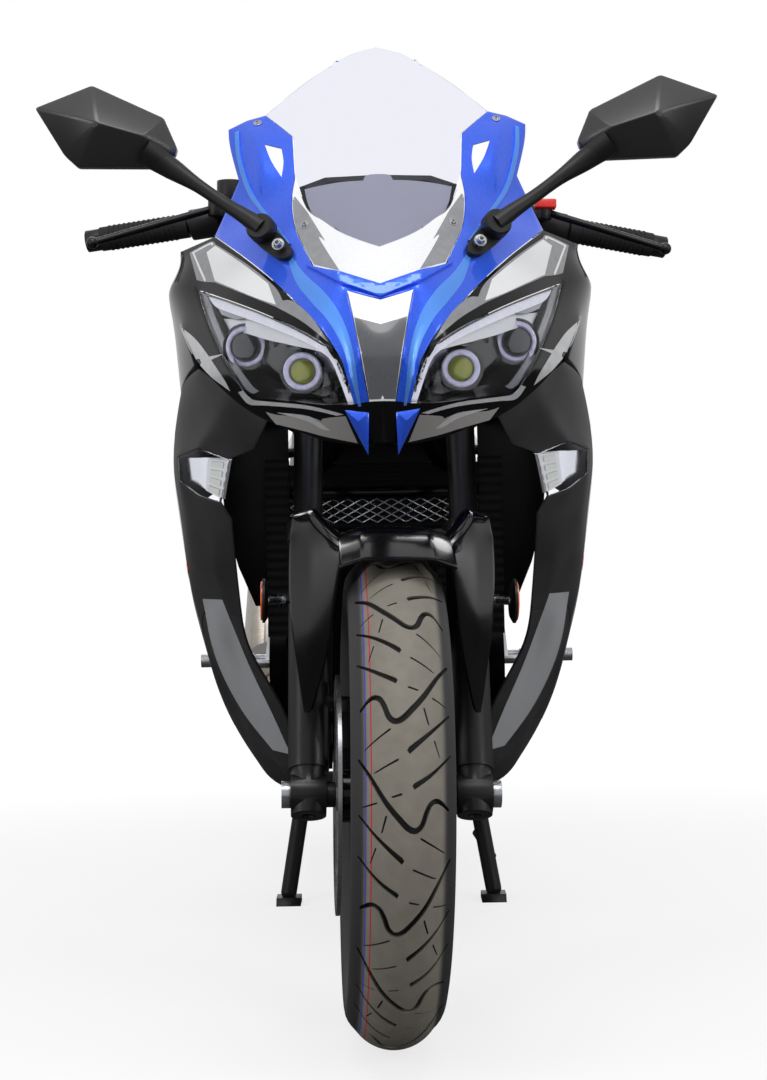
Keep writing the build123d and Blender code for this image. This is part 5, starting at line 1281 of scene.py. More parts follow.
def bowl(lens, name):
    """A copy of the lens's outer skin, sunk behind it except at its rim."""
    obj = placed(name, lens.data.copy())
    with edited(obj) as shape:
        inner = [f for f in shape.faces if f.normal.y > -0.12]
        bmesh.ops.delete(shape, geom=inner, context="FACES")
        loose = [v for v in shape.verts if not v.link_faces]
        bmesh.ops.delete(shape, geom=loose, context="VERTS")
        rim = [v.co.copy() for v in shape.verts if v.is_boundary]
        finder = KDTree(len(rim))
        for k, spot in enumerate(rim):
            finder.insert(spot, k)
        finder.balance()
        for vert in shape.verts:
            share = min(1.0, finder.find(vert.co)[2] / BOWL_SLOPE)
            vert.co.y += BOWL_LIP + BOWL_DEPTH * share * share * (3 - 2 * share)
    return dress(shade(walled(obj, BOWL_WALL), 50), LAMP_BLACK)


bowls = bowl(panels["headlight_lenses"], "lamp_bowls")

# %% Lamp trims: piece, finish, height, thickness, outline in (side, up)
LAMP_TRIMS = [
    # The light guide runs along the lens's top edge and down its inner edge.
    ("lamp_light_guides", GUIDE, -5.5, 5,
     path([(217, 904), (190, 886), (152, 866), (110, 846), (78, 828), (56, 809)],
          [(56, 809), (47, 795), (42, 775), (35, 746)], [(35, 746), (40, 745)],
          [(40, 745), (47, 766), (53, 787), (61, 801)],
          [(61, 801), (80, 816), (112, 834), (152, 855), (186, 872), (205, 884), (217, 904)])),
    # The brow shades the projectors, and the inlet lies above it.
    ("lamp_brows", BROW_SILVER, -13, 3,
     path([(200, 868), (160, 861), (118, 842), (84, 822), (63, 807)],
          [(63, 807), (78, 812), (110, 822), (140, 832), (170, 845), (192, 851)], [(192, 851), (200, 868)])),
    ("lamp_inlets", INLET_GREY, -9, 2,
     path([(205, 884), (186, 876), (160, 863)], [(160, 863), (180, 864), (198, 872)],
          [(198, 872), (205, 884)])),
    # The facet is the lens's slanted outer wall.
    ("lamp_facets", SMOKE, -4.5, 1.5,
     path([(226, 906), (218, 904), (209, 886), (202, 866), (190, 838)],
          [(190, 838), (175, 806), (154, 776), (146, 770)], [(146, 770), (154, 768), (164, 774)],
          [(164, 774), (186, 803), (208, 858), (226, 906)]))]
guides, brows, inlets, facets = (both(laid(name, SKIN, outline, material, lift=height, thick=thick))
                                 for name, material, height, thick, outline in LAMP_TRIMS)

# %% Projectors: side, back, up, ring radius, glass radius, glass finish
PROJECTORS = [(160, 7, 826, 24, 18, DARK_GLASS), (91, -58, 790, 22, 15, YELLOW_GLASS)]
GLASS_RISE = 9.5
rings, barrels, glasses = [], [], []
for number, (side, back, up, ring_r, glass_r, glass) in enumerate(PROJECTORS):
    place = at(side, back, up)
    barrels.append(turned(f"projector_barrel_{number}",
                          [(0, -30), (ring_r + 2, -30), (ring_r + 4, -6), (ring_r + 4, 1), (ring_r + 1.5, 2),
                           (glass_r - 1, 1), (glass_r - 1, -4), (0, -4)], place, -BACK, LAMP_BLACK))
    rings.append(turned(f"projector_ring_{number}",
                        [(glass_r, 0.5), (glass_r, 3), (glass_r + 1.5, 5), (ring_r - 1.5, 5), (ring_r, 3.5),
                         (ring_r, 0.5), (glass_r, 0.5)], place, -BACK, OPAL))
    dome = [(glass_r * sin(a), GLASS_RISE * cos(a)) for a in [0.2 * k for k in range(8)] + [pi / 2]]
    glasses.append(turned(f"projector_glass_{number}", dome + [(0, 0)], place, -BACK, glass))
ready(both(joined("projector_rings", rings)), "chassis", "clear_lens")
ready(both(joined("projector_glasses", glasses)), "chassis", "lamp_glass")
ready(joined("lamp_bowls", [bowls, both(joined("projector_barrels", barrels))]), "chassis", "gloss_black",
      "headlamps")
ready(guides, "chassis", "clear_lens")
ready(joined("lamp_brows", [brows, inlets]), "chassis", "mirror_glass")
ready(facets, "chassis", "clear_lens")

# %% [markdown]
# ## Printed films
# The cowl and the shield carry plain shapes in white, grey and silver film with thin white pinstripes and
# no lettering. They lie a few tenths of a millimetre proud, as film does.

# %% Films seen from the front: piece, finish, height, outline in (side, up)
FILM_THICK = 0.2
FRONT_FILMS = [("film_cowl_base", GREY_FILM, 0.3,
                path([(239, 961), (209, 968), (202, 963)], [(202, 963), (160, 928), (124, 893), (113, 873)],
                     [(113, 873), (100, 870), (78, 848), (60, 818)], [(60, 818), (90, 845), (122, 867)],
                     [(122, 867), (160, 888), (201, 912)], [(201, 912), (218, 917), (227, 921)],
                     [(227, 921), (239, 961)])),
               ("film_cowl_white", WHITE_FILM, 0.55,
                path([(214, 955), (202, 961)], [(202, 961), (166, 930), (131, 897)], [(131, 897), (121, 869)],
                     [(121, 869), (151, 884), (201, 914)], [(201, 914), (214, 955)])),
               ("film_cowl_line", WHITE_FILM, 0.55,
                path([(235, 960), (209, 966.5), (205, 963)],
                     [(205, 963), (207, 962), (210, 964), (232, 958.5)], [(232, 958.5), (214, 918.5)],
                     [(214, 918.5), (217, 919), (235, 960)])),
               ("film_side_silver", SILVER_FILM, 0.3,
                path([(251, 866), (224, 841), (192, 795), (181, 775)],
                     [(181, 775), (190, 782), (207, 796), (227, 818)], [(227, 818), (240, 838), (251, 866)])),
               ("film_lens_line", SILVER_FILM, 0.35,
                path([(170, 772), (164, 773)], [(164, 773), (153, 762), (134, 757.5), (86, 749), (44, 737)],
                     [(44, 737), (52, 736)], [(52, 736), (86, 745), (134, 753), (157, 757), (170, 772)])),
               ("film_lip_grey", LIP_FILM, 0.3,
                path([(136, 746), (120, 741), (87, 737), (70, 731), (62, 726)],
                     [(62, 726), (69, 733), (42, 735)], [(42, 735), (29, 705)],
                     [(29, 705), (64, 713), (87, 720), (124, 731)], [(124, 731), (136, 746)])),
               ("film_lip_white", SILVER_FILM, 0.55,
                path([(122, 744), (88, 738), (74, 731), (60, 720)],
                     [(60, 720), (69, 722), (87, 732), (122, 744)])),
               ("film_shield_grey", GREY_FILM, 0.3,
                path([(100, 1008), (84, 984)], [(84, 984), (63, 944)], [(63, 944), (70, 948), (46, 903)],
                     [(46, 903), (76, 914)], [(76, 914), (87, 938), (99, 968), (103, 1003)],
                     [(103, 1003), (100, 1008)])),
               ("film_keel_grey", KEEL_FILM, 0.3,
                path([(214, 520), (188, 430), (158, 352), (138, 296)], [(138, 296), (164, 300)],
                     [(164, 300), (202, 352), (227, 404), (240, 455), (245, 520)], [(245, 520), (214, 520)]))]
for name, film, height, outline in FRONT_FILMS:
    ready(both(laid(name, SKIN, outline, film, lift=height, thick=height + FILM_THICK)), "chassis",
          "pearl_white")
SLATE = path([(-29.5, 845), (0, 836)], [(0, 836), (29.5, 845)],
             [(29.5, 845), (28, 833), (22, 801), (14.5, 752)], [(14.5, 752), (-14.5, 752)],
             [(-14.5, 752), (-22, 801), (-28, 833), (-29.5, 845)])
ready(laid("film_centre_grey", SKIN, SLATE, CENTRE_FILM, lift=0.3, thick=0.3 + FILM_THICK), "chassis",
      "charcoal_plastic")
# A painted highlight follows the strake from the mirror pad down to the chin: a band of paler blue laid on
# the paint.
STRAKE_HIGHLIGHT = path([(112, 944), (88, 905), (64, 878), (46, 850), (33, 812), (26, 760), (24, 745)],
            [(24, 745), (27, 745)],
            [(27, 745), (31, 762), (42, 808), (59, 842), (78, 866), (98, 896), (112, 944)])
ready(both(laid("strake_lines", SKIN, STRAKE_HIGHLIGHT, PAINTED_HIGHLIGHT_BLUE, lift=0.5, thick=0.8, spacing=3)), "chassis",
      "metallic_blue")

# %% Films seen from the side: piece, finish, height, outline in (back, up)
# The flanks carry a silver flash with a blue shoulder and one short red bar. They are drawn from the side,
# because from the front they are seen almost edge on.
SIDE_FILMS = [("film_flank_silver", SILVER_FILM, 0.3,
               path([(262, 728), (330, 712), (420, 672)], [(420, 672), (540, 590), (600, 500)],
                    [(600, 500), (560, 420), (520, 330)], [(520, 330), (450, 400), (372, 480)],
                    [(372, 480), (318, 560), (270, 640), (262, 728)])),
              ("film_flank_blue", BLUE, 0.35,
               path([(258, 775), (330, 768), (420, 745)], [(420, 745), (500, 690), (560, 640)],
                    [(560, 640), (500, 660), (420, 690)], [(420, 690), (340, 724), (258, 738)],
                    [(258, 738), (258, 775)])),
              ("film_flank_red", RED, 0.7,
               path([(296, 572), (440, 540)], [(440, 540), (432, 530)], [(432, 530), (303, 560)],
                    [(303, 560), (296, 572)])),
              ("film_flank_grey", GREY_FILM, 0.7,
               path([(360, 640), (520, 560), (580, 505)], [(580, 505), (560, 470)],
                    [(560, 470), (480, 545), (372, 604)], [(372, 604), (360, 640)]))]
for name, film, height, outline in SIDE_FILMS:
    film = laid(name, SKIN, outline, film, lift=height, thick=height + FILM_THICK, view=LEFT_SIDE, spacing=9)
    ready(both(film), "chassis", "pearl_white")

# %% [markdown]
# ## Mouldings on the cowl
# A painted bar closes the foot of the shield, a rib stiffens each wing, and two short spikes point down
# from the chin. A small triangular vent is moulded through the top of each wing. Behind the lower half of
# the screen a grey liner hides the instruments from the front.

# %% Bar, ribs and spikes
CHEVRON_BAR = path([(-84, 912), (0, 882)], [(0, 882), (84, 912)], [(84, 912), (45, 886)],
                   [(45, 886), (0, 868)], [(0, 868), (-45, 886)], [(-45, 886), (-84, 912)])
chevron = laid("chevron_bar", SKIN, CHEVRON_BAR, BLUE, lift=4.5, thick=6)
ready(shade(soften(chevron, 1.0 * MM, 2, 50), 40), "chassis", "metallic_blue")
WING_RIB = path([(172, 1108), (168, 1070), (152, 1020), (122, 972), (104, 944)], [(104, 944), (108, 944)],
                [(108, 944), (126, 970), (157, 1018), (173, 1068), (177, 1106)], [(177, 1106), (172, 1108)])
# The ribs are dressed in the paler blue as a painted highlight along each ridge.
ribs = both(laid("wing_ribs", SKIN, WING_RIB, PAINTED_HIGHLIGHT_BLUE, lift=2.2, thick=3.4))
ready(shade(soften(ribs, 1.2 * MM, 2, 50), 50), "chassis", "metallic_blue")
SPIKE_FRONT = [(43, -104, 742), (15, -110, 738), (17, -92, 690), (27, -112, 728)]
SPIKE_BACK = [(43, -97, 742), (15, -103, 738), (17, -89, 691)]
spike = mesh_object("chin_spikes", [at(*p) for p in SPIKE_FRONT + SPIKE_BACK],
                    [(0, 1, 3), (1, 2, 3), (2, 0, 3), (4, 6, 5), (0, 4, 5, 1), (1, 5, 6, 2), (2, 6, 4, 0)])
spikes = both(soften(outfaced(spike), 0.6 * MM, 2, 30))
ready(dress(shade(spikes, 40), BLUE), "chassis", "metallic_blue")

# %% Wing slots and screen liner
SLOT = path([(139, 1085), (118, 1078)], [(118, 1078), (115, 1058), (117, 1037)],
            [(117, 1037), (130, 1060), (139, 1085)])
SLOT_NEAR, SLOT_FAR = -50, 250
cowl = cut_out(panels["nose_cowl"], both(upright("slot_cutter", SLOT, SLOT_NEAR, SLOT_FAR, BLUE)))
shade(dress(cowl, BLUE), 40)
LINER = path([(-92, 1024), (-50, 1030), (-18, 1032)], [(-18, 1032), (-12, 1040), (12, 1040), (18, 1032)],
             [(18, 1032), (50, 1030), (92, 1024)], [(92, 1024), (84, 996), (62, 972), (30, 952), (0, 938)],
             [(0, 938), (-30, 952), (-62, 972), (-84, 996), (-92, 1024)])
ready(laid("screen_liner", SKIN, LINER, LINER_GREY, lift=-9, thick=2.5), "chassis", "charcoal_plastic")

# %% [markdown]
# ## Turn signals
# At the front a clear lens lies flush in the fairing. Behind it a silver reflector holds four rectangular
# light cells in a pale frame. The rear signals are plain amber blocks on short stalks.

# %% Signal reflectors and cells
SIGNAL_TOP, SIGNAL_LOW = [(192, 697), (264, 704)], [(205, 644), (261, 674)]
# Parts behind the lens: finish, from and to across, from and to down, all as shares, height, thickness.
SIGNAL_PARTS = [(CHROME, 0.03, 0.97, 0.03, 0.97, -11, 2), (BROW_SILVER, 0.05, 0.44, 0.05, 0.95, -8, 3)]
SIGNAL_PARTS += [(CELL_GREY, 0.13, 0.36, 0.10 + 0.22 * k, 0.24 + 0.22 * k, -6.5, 2) for k in range(4)]


def in_signal(u, v):
    """A place on the signal as seen from the front: u from its inner to its outer edge, v downwards."""
    top, low = (Vector(a).lerp(Vector(b), u) for a, b in (SIGNAL_TOP, SIGNAL_LOW))
    return tuple(top.lerp(low, v))


def signal_part(number, material, u0, u1, v0, v1, height, thick):
    corners = [in_signal(u0, v0), in_signal(u0, v1), in_signal(u1, v1), in_signal(u1, v0)]
    outline = path(*zip(corners, corners[1:] + corners[:1]))
    return laid(f"signal_part_{number}", SKIN, outline, material, lift=height, thick=thick)


backs = [signal_part(number, *part) for number, part in enumerate(SIGNAL_PARTS)]
ready(both(joined("signal_reflectors", backs)), "chassis", "clear_lens")


# %% Merged copies of the plain nodes
def body_of(vert):
    """All the corners that hang together with one."""
    body, edge = {vert}, [vert]
    while edge:
        for link in edge.pop().link_edges:
            other = link.verts[0] if link.verts[1] in body else link.verts[1]
            if other not in body:
                body.add(other)
                edge.append(other)
    return body


def copy_of(node, name, keep=None):
    """A merged copy of a node's mesh, whole or only the loose bodies that a test on their middle keeps."""
    obj = placed(name, frame["nodes"][node].data.copy())
    with edited(obj) as shape:
        bmesh.ops.remove_doubles(shape, verts=shape.verts, dist=1e-5)
        left, drop = set(shape.verts) if keep else set(), []
        while left:
            body = body_of(next(iter(left)))
            left -= body
            if not keep(sum((v.co for v in body), Vector()) / len(body)):
                drop += body
        bmesh.ops.delete(shape, geom=drop, context="VERTS")
        bmesh.ops.dissolve_limit(shape, angle_limit=radians(1.5), verts=shape.verts, edges=shape.edges)
        bmesh.ops.triangulate(shape, faces=[f for f in shape.faces if len(f.verts) > 4])
    return obj


rear_signals = copy_of("turn_signals", "rear_signals", keep=lambda middle: middle.y > 0)
ready(dress(shade(soften(rear_signals, 1.2 * MM, 2), 40), AMBER), "chassis", "amber_lens")

# %% [markdown]
# ## Front mudguard
# A pressed arch over the tyre with two pointed fins ahead of the fork legs, moulded in one and painted
# gloss black. Both are nets of a few points, subdivided, with partial creases along the folds.

# %% Mudguard
FRONT_TYRE_R = FRONT_AXLE_UP = 293.0
MUDGUARD_GAP, MUDGUARD_WALL, MUDGUARD_HALF = 13.0, 3.0, 66.0
GUARD_R = FRONT_TYRE_R + MUDGUARD_GAP
FIN = [[(60, 62, 594), (90, 60, 632), (112, 62, 628)],
       [(60, 0, 600), (94, 20, 628), (118, 30, 622)],
       [(60, -60, 594), (96, -14, 606), (121, 10, 598)],
       [(62, -108, 580), (96, -34, 570), (122, 4, 566)],
       [(70, -88, 520), (98, -40, 515), (121, -2, 515)],
       [(80, -66, 460), (100, -36, 456), (114, -14, 456)],
       [(96, -36, 396), (100, -30, 392), (104, -24, 392)]]
ARCH_SECTION = [(0, GUARD_R + 11), (0.6 * MUDGUARD_HALF, GUARD_R + 10), (MUDGUARD_HALF, GUARD_R)]
ARCH = [[(side, -radius * cos(radians(turn)), FRONT_AXLE_UP + radius * sin(radians(turn)))
         for side, radius in ARCH_SECTION] for turn in range(62, 159, 12)]
arch_net = smooth_net("front_mudguard_arch", {"arch": cells_of(ARCH)}, [(line_of(ARCH, column=1), 0.7)],
                      heart_at(0, 0, FRONT_AXLE_UP), rounds=3)
fin_net = smooth_net("front_mudguard_fins", {"fin": cells_of(FIN)},
                     [(line_of(FIN, column=1), 0.75), (line_of(FIN, row=3), 0.4)],
                     heart_at(60, 200, 500), rounds=3)
guards = []
for net in (arch_net, fin_net):
    guards.append(cut_panel(net, 0, net.name + "_skin", MUDGUARD_WALL * MM, gap=0.0, rim=0.8 * MM))
    bpy.data.objects.remove(net)
STAY_BACK, STAY_UP, STAY_R = 141.0, 596.0, 12.0
stay = rod("mudguard_stay", at(MUDGUARD_HALF - 5, STAY_BACK, STAY_UP), at(76, STAY_BACK, STAY_UP), STAY_R,
           GLOSS)
plate = prism("mudguard_stay_plate", [(81, 566), (101, 584), (141, 608), (151, 588), (101, 560)],
              MUDGUARD_HALF - 4, MUDGUARD_HALF + 3, GLOSS)
stays = both(joined("mudguard_stays", [stay, plate]))
mudguard = dress(joined("front_mudguard_skin", guards + [stays]), GLOSS)
ready(shade(steered(mudguard), 40), "steering", "gloss_black", "front_mudguard")

# %% [markdown]
# ## Mirrors
# Each mirror head is a faceted ABS moulding on a thin stalk that ends in an oval rubber pad on the cowl,
# held by two silver screws. The facets are flat, but their edges are rounded by the mould.

# %% Mirror heads, stalks and pads
MIRROR_BACK, MIRROR_RIM = 30.0, 18.0
HEAD_LINE = [(341, 1146), (410, 1120), (376, 1063), (360, 1048), (272, 1046), (243, 1060), (240, 1069),
             (255, 1105)]
RIDGE = [(330, -10, 1092), (276, 4, 1078)]
OUTER_FACETS = 4
COLLAR = [(279, 22, 1066, 17), (266, 26, 1057, 16), (256, 28, 1050, 14)]
STALK = [(266, 26, 1056, 15), (246, 28, 1043, 13), (216, 22, 1022, 8.5), (186, 16, 1000, 8),
         (160, 8, 982, 9.5), (139, 2, 966, 12)]
PAD = path([(146, 972), (130, 966), (112, 952), (101, 934), (104, 923), (116, 924), (133, 938), (145, 954),
            (150, 966), (146, 972)])


def swept(name, stations, material):
    """A round limb on a smooth line: stations of (side, back, up, radius)."""
    line = path(stations, steps=4) + [stations[-1]]
    return tube(name, [at(*station[:3]) for station in line], [station[3] for station in line], material, 20,
                40)


def mirror_head():
    """A flat back, a rim and facets up to a ridge: the outer half at one end, the rest at the other."""
    count = len(HEAD_LINE)
    points = [at(side, back, up) for back in (MIRROR_BACK + MIRROR_RIM, MIRROR_BACK)
              for side, up in HEAD_LINE]
    points += [at(*p) for p in RIDGE]
    tops = [2 * count + (k >= OUTER_FACETS) for k in range(count)]
    faces = [list(range(count))]
    for k in range(count):
        j = (k + 1) % count
        faces += [[k, j, count + j, count + k], [count + k, count + j, tops[k]]]
        if tops[k] != tops[j]:
            faces.append([count + j, tops[j], tops[k]])
    return outfaced(mesh_object("mirror_head", points, faces))


head = dress(shade(soften(mirror_head(), 3.0 * MM, 4, 8), 60), HOUSING)
collar, stalk = swept("mirror_collar", COLLAR, MOULDED), swept("mirror_stalk", STALK, MOULDED)
pad = soften(laid("mirror_pad", SKIN, PAD, MOULDED, lift=7, thick=9, spacing=6), 2.0 * MM, 3, 50)
knuckle = turned("mirror_knuckle", [(0, 0), (15, 0), (17, 2), (17, 17), (15, 20), (0, 20)], at(136, 14, 963),
                 (0.35, -1.0, 0.3), MOULDED)
ready(both(joined("mirror_bodies", [head, collar, stalk, pad, knuckle])), "chassis", "black_plastic",
      "mirrors")


# %% Screws: a tree that sets one head on every marked spot
def screw_tree():
    """Button heads with a hexagon socket, standing on marked spots along each spot's own direction."""
    tree, given = open_tree("screw_heads", Radius="Float", Height="Float")

    def share(socket, amount):
        part = add(tree, "ShaderNodeMath", {0: given.outputs[socket], 1: amount}, operation="MULTIPLY")
        return part.outputs[0]

    def raised(piece, amount):
        lift = add(tree, "ShaderNodeCombineXYZ", {2: share("Height", amount)})
        return add(tree, "GeometryNodeTransform",
                   {"Geometry": piece.outputs[0], "Translation": lift.outputs[0]})

    washer = add(tree, "GeometryNodeMeshCylinder", {"Vertices": 24, "Radius": given.outputs["Radius"],
                                                    "Depth": given.outputs["Height"]})
    head = add(tree, "GeometryNodeMeshCone", {"Vertices": 24, "Radius Bottom": share("Radius", 0.78),
                                              "Radius Top": share("Radius", 0.5),
                                              "Depth": given.outputs["Height"]})
    hexagon = add(tree, "GeometryNodeMeshCylinder", {"Vertices": 6, "Radius": share("Radius", 0.34),
                                                     "Depth": given.outputs["Height"]})
    socket = add(tree, "GeometryNodeMeshBoolean", {0: raised(head, 0.5).outputs[0],
                                                   1: raised(hexagon, 1.25).outputs[0]},
                 operation="DIFFERENCE")
    whole = add(tree, "GeometryNodeJoinGeometry")
    tree.links.new(washer.outputs[0], whole.inputs[0])
    tree.links.new(socket.outputs[0], whole.inputs[0])
    aim = add(tree, "GeometryNodeInputNamedAttribute", {0: "aim"}, data_type="FLOAT_VECTOR")
    turn = add(tree, "FunctionNodeAlignRotationToVector", {"Vector": aim.outputs[0]}, axis="Z")
    heads = add(tree, "GeometryNodeInstanceOnPoints", {"Points": given.outputs["Geometry"],
                                                       "Instance": whole.outputs[0],
                                                       "Rotation": turn.outputs[0]})
    return close_tree(tree, given, heads)


SCREW = screw_tree()


def screws(name, spots, radius, height):
    """Screws on both sides, at places in metres, each with the direction its head faces."""
    marks = [(place, aim.normalized()) for place, aim in spots]
    marks += [(Vector((-place.x, place.y, place.z)), Vector((-aim.x, aim.y, aim.z))) for place, aim in marks]
    obj = mesh_object(name, [place for place, _ in marks], [], smooth=False)
    layer = obj.data.attributes.new("aim", "FLOAT_VECTOR", "POINT")
    layer.data.foreach_set("vector", [c for _, aim in marks for c in aim])
    run_tree(obj, SCREW, Radius=radius * MM, Height=height * MM, Finish=ZINC)
    return ready(shade(obj, 30), "chassis", "zinc_steel")


wing_spots = [SKIN.ray_cast(LEFT * side * MM + UP * up * MM - BACK * STAND_OFF, BACK)[:2]
              for side, up in ((149, 1118), (87, 968))]
screws("wing_screws", [(hit, normal if normal.y < 0 else -normal) for hit, normal in wing_spots], 5.5, 2.0)
screws("pad_screws",
       [(at(137, 6, 966), Vector((0.3, -1.0, 0.35))), (at(118, -24, 942), Vector((0.25, -1.0, 0.3)))], 7.5,
       5.0)

# %% [markdown]
# ## Radiator guard
# Behind the fork a glossy cross bar sits over a strip of expanded metal, which is sheet slit and pulled
# into diamonds.

# %% Expanded metal: one strand, repeated by a tree
def strand_tree():
    """A crossed pair of strands repeated in rows and columns."""
    tree, given = open_tree("expanded_metal", Columns="Int", Rows="Int", Width="Float", Height="Float")
    grid = add(tree, "GeometryNodeMeshGrid", {"Size X": given.outputs["Width"],
                                              "Size Y": given.outputs["Height"],
                                              "Vertices X": given.outputs["Columns"],
                                              "Vertices Y": given.outputs["Rows"]})
    stand = add(tree, "GeometryNodeTransform", {"Geometry": grid.outputs[0], "Rotation": (pi / 2, 0, 0)})
    copies = add(tree, "GeometryNodeInstanceOnPoints", {"Points": stand.outputs[0],
                                                        "Instance": given.outputs["Geometry"]})
    return close_tree(tree, given, copies)


MESH_BACK, MESH_LOW, MESH_HIGH, MESH_HALF = 392.0, 618, 652, 128
CELL_ACROSS, CELL_UP, STRAND_R = 20.0, 11.0, 0.9
ends = [(LEFT * CELL_ACROSS + UP * CELL_UP * sign) / 2 * MM for sign in (-1, 1)]
strands = joined("radiator_mesh", [rod("strand", -end, end, STRAND_R, ZINC, segments=6) for end in ends])
columns, rows = round(2 * MESH_HALF / CELL_ACROSS), round((MESH_HIGH - MESH_LOW) / CELL_UP)
run_tree(strands, strand_tree(), Columns=columns, Rows=rows, Width=(columns - 1) * CELL_ACROSS * MM,
         Height=(rows - 1) * CELL_UP * MM, Finish=ZINC)
strands.data.transform(Matrix.Translation(at(0, MESH_BACK, (MESH_LOW + MESH_HIGH) / 2)))
ready(strands, "chassis", "zinc_steel")

# %% Bars round the radiator
bars = [prism("radiator_bar", [(388, 653), (397, 653), (397, 668), (388, 668)], -129, 129, GLOSS, 2.0),
        prism("radiator_sill", [(389, 600), (397, 600), (397, 611), (389, 611)], -129, 129, GLOSS, 1.5),
        prism("radiator_shroud", [(394, 700), (399, 700), (404, 754), (399, 754)], -116, 116, MOULDED, 1.5)]
ready(joined("radiator_bars", bars), "chassis", "gloss_black")

# %% Fairing liners: black infill plates between the radiator and the fairing's inner face
LINER_BACK, LINER_THICK = 418, 3
LINER_PLATE = [(132, 780), (206, 800), (222, 770), (228, 700), (222, 620), (205, 560), (182, 505), (158, 505),
               (150, 600), (132, 640)]
liner = upright("fairing_liners", LINER_PLATE, LINER_BACK, LINER_BACK + LINER_THICK, MOULDED, 0.8)
ready(both(liner), "chassis", "black_plastic")

# %% [markdown]
# ## Small parts on the fork and the bars
# Each side reflector is an amber acrylic disc in a black rubber cup, on a plated bolt from the fork leg.
# The grips are moulded with raised ribs, and a red rocker stops the engine.

# %% Reflectors and axle spacer
CUP_FACE, BOLT_FOOT = at(150, 62, 520), at(120, 98, 520)
bolt_run = CUP_FACE - BOLT_FOOT
reflector = [turned("reflector_disc", [(0, 0), (24, 0), (24, 3.4), (23, 4.2), (0, 4.2)],
                    CUP_FACE + LEFT * 2 * MM, LEFT, AMBER),
             turned("reflector_cup", [(0, 0), (20, 0), (27, 4), (27, 7), (24.5, 7), (24.5, 5), (0, 5)],
                    CUP_FACE - LEFT * 3 * MM, LEFT, MOULDED),
             rod("reflector_bolt", BOLT_FOOT, CUP_FACE, 5, ZINC),
             turned("reflector_nut", [(0, 0), (9, 0), (9, 7), (0, 7)], BOLT_FOOT + bolt_run / 4, bolt_run,
                    ZINC, 6)]
ready(steered(both(joined("side_reflectors_skin", reflector))), "steering", "amber_lens", "side_reflectors")
spacer = turned("axle_spacer", [(12.5, 0), (12.5, 20), (10, 20), (10, 0), (12.5, 0)], at(-90, 0, 293), LEFT,
                ZINC)
ready(steered(spacer), "steering", "zinc_steel")


# %% A tree that sets copies of one part on marked spots, for grip ribs and chain links
def part_tree():
    """Copies of one part on marked spots, each turned about the X axis by the spot's own angle."""
    tree, given = open_tree("parts_on_spots", Part="Object")
    part = add(tree, "GeometryNodeObjectInfo", {"Object": given.outputs["Part"]})
    angle = add(tree, "GeometryNodeInputNamedAttribute", {0: "angle"}, data_type="FLOAT")
    turn = add(tree, "ShaderNodeCombineXYZ", {0: angle.outputs[0]})
    copies = add(tree, "GeometryNodeInstanceOnPoints", {"Points": given.outputs["Geometry"],
                                                        "Instance": part.outputs["Geometry"],
                                                        "Rotation": turn.outputs[0]})
    return close_tree(tree, given, copies)


PARTS = part_tree()


def copies_on(name, part, spots, material):
    """Sets a part, drawn at the origin, on spots of (place, angle), and removes the pattern part."""
    obj = mesh_object(name, [place for place, _ in spots], [], smooth=False)
    layer = obj.data.attributes.new("angle", "FLOAT", "POINT")
    layer.data.foreach_set("value", [angle for _, angle in spots])
    run_tree(obj, PARTS, Part=part, Finish=material)
    bpy.data.objects.remove(part)
    return shade(obj, 40)


# %% Grip ribs and engine stop switch
BAR_ROOT, BAR_TIP = at(104, 350, 1046), at(382, 402, 1008)
GRIP_R, GRIP_RIBS, RIB_START, RIB_PITCH = 16.5, 14, 14, 7
bar_along = (BAR_TIP - BAR_ROOT).normalized()
RIB = [(GRIP_R - 1, -1.6), (GRIP_R + 0.9, -0.9), (GRIP_R + 0.9, 0.9), (GRIP_R - 1, 1.6), (GRIP_R - 1, -1.6)]
rib_spots = [(BAR_TIP - bar_along * (RIB_START + RIB_PITCH * k) * MM, 0.0) for k in range(GRIP_RIBS)]
grip_ribs = copies_on("grip_ribs", turned("grip_rib", RIB, ORIGIN, bar_along, GRIP, 32), rib_spots, GRIP)
ready(steered(both(grip_ribs)), "steering", "grip_rubber")
stop = prism("stop_switch", [(318, 1045), (334, 1043), (337, 1052), (330, 1058), (320, 1057)], 209, 238, RED,
             2.0)
ready(steered(stop), "steering", "black_plastic")

# %% [markdown]
# ## Softened copies
# Forgings, castings and mouldings have no knife edges. Where the construction model's shape is right, a
# merged copy of it gets rounded edges, so that they catch the light.

# %% Softened copies: body, slot, finish, then nodes with their edge radius in mm
COPIES = [("steering", "satin_black_metal", SATIN,
           {"fork_legs": 1.2, "fork_yokes": 1.2, "handlebars": 1.0, "levers": 0.8}),
          ("steering", "black_plastic", MOULDED, {"switchgear": 1.5}),
          ("steering", "cast_alloy", SATIN, {"front_caliper": 1.5}),
          ("steering", "zinc_steel", ZINC, {"front_axle": 0.8}),
          ("front_wheel", "wheel_black", GLOSS, {"front_rim": 1.2}),
          ("rear_wheel", "wheel_black", GLOSS, {"rear_rim": 1.2}),
          ("side_stand", "satin_black_metal", SATIN, {"side_stand": 1.0}),
          ("centre_stand", "satin_black_metal", SATIN, {"centre_stand": 1.0}),
          ("chassis", "cast_alloy", CAST, {"footrests": 0.8}),
          ("chassis", "satin_black_metal", SATIN, {"swingarm": 2.0, "main_frame": 1.5}),
          ("chassis", "engine_alloy", ENGINE, {"engine": 2.0}),
          ("chassis", "cast_alloy", SATIN, {"rear_caliper": 1.0}),
          ("chassis", "exhaust_steel", EXHAUST, {"exhaust": 1.0}),
          ("chassis", "red_lens", RED_LENS, {"tail_light": 1.5}),
          ("chassis", "plate_white", PLATE, {"number_plate": 0.5}),
          ("chassis", "black_plastic", MOULDED, {"rear_mudguard": 1.0})]
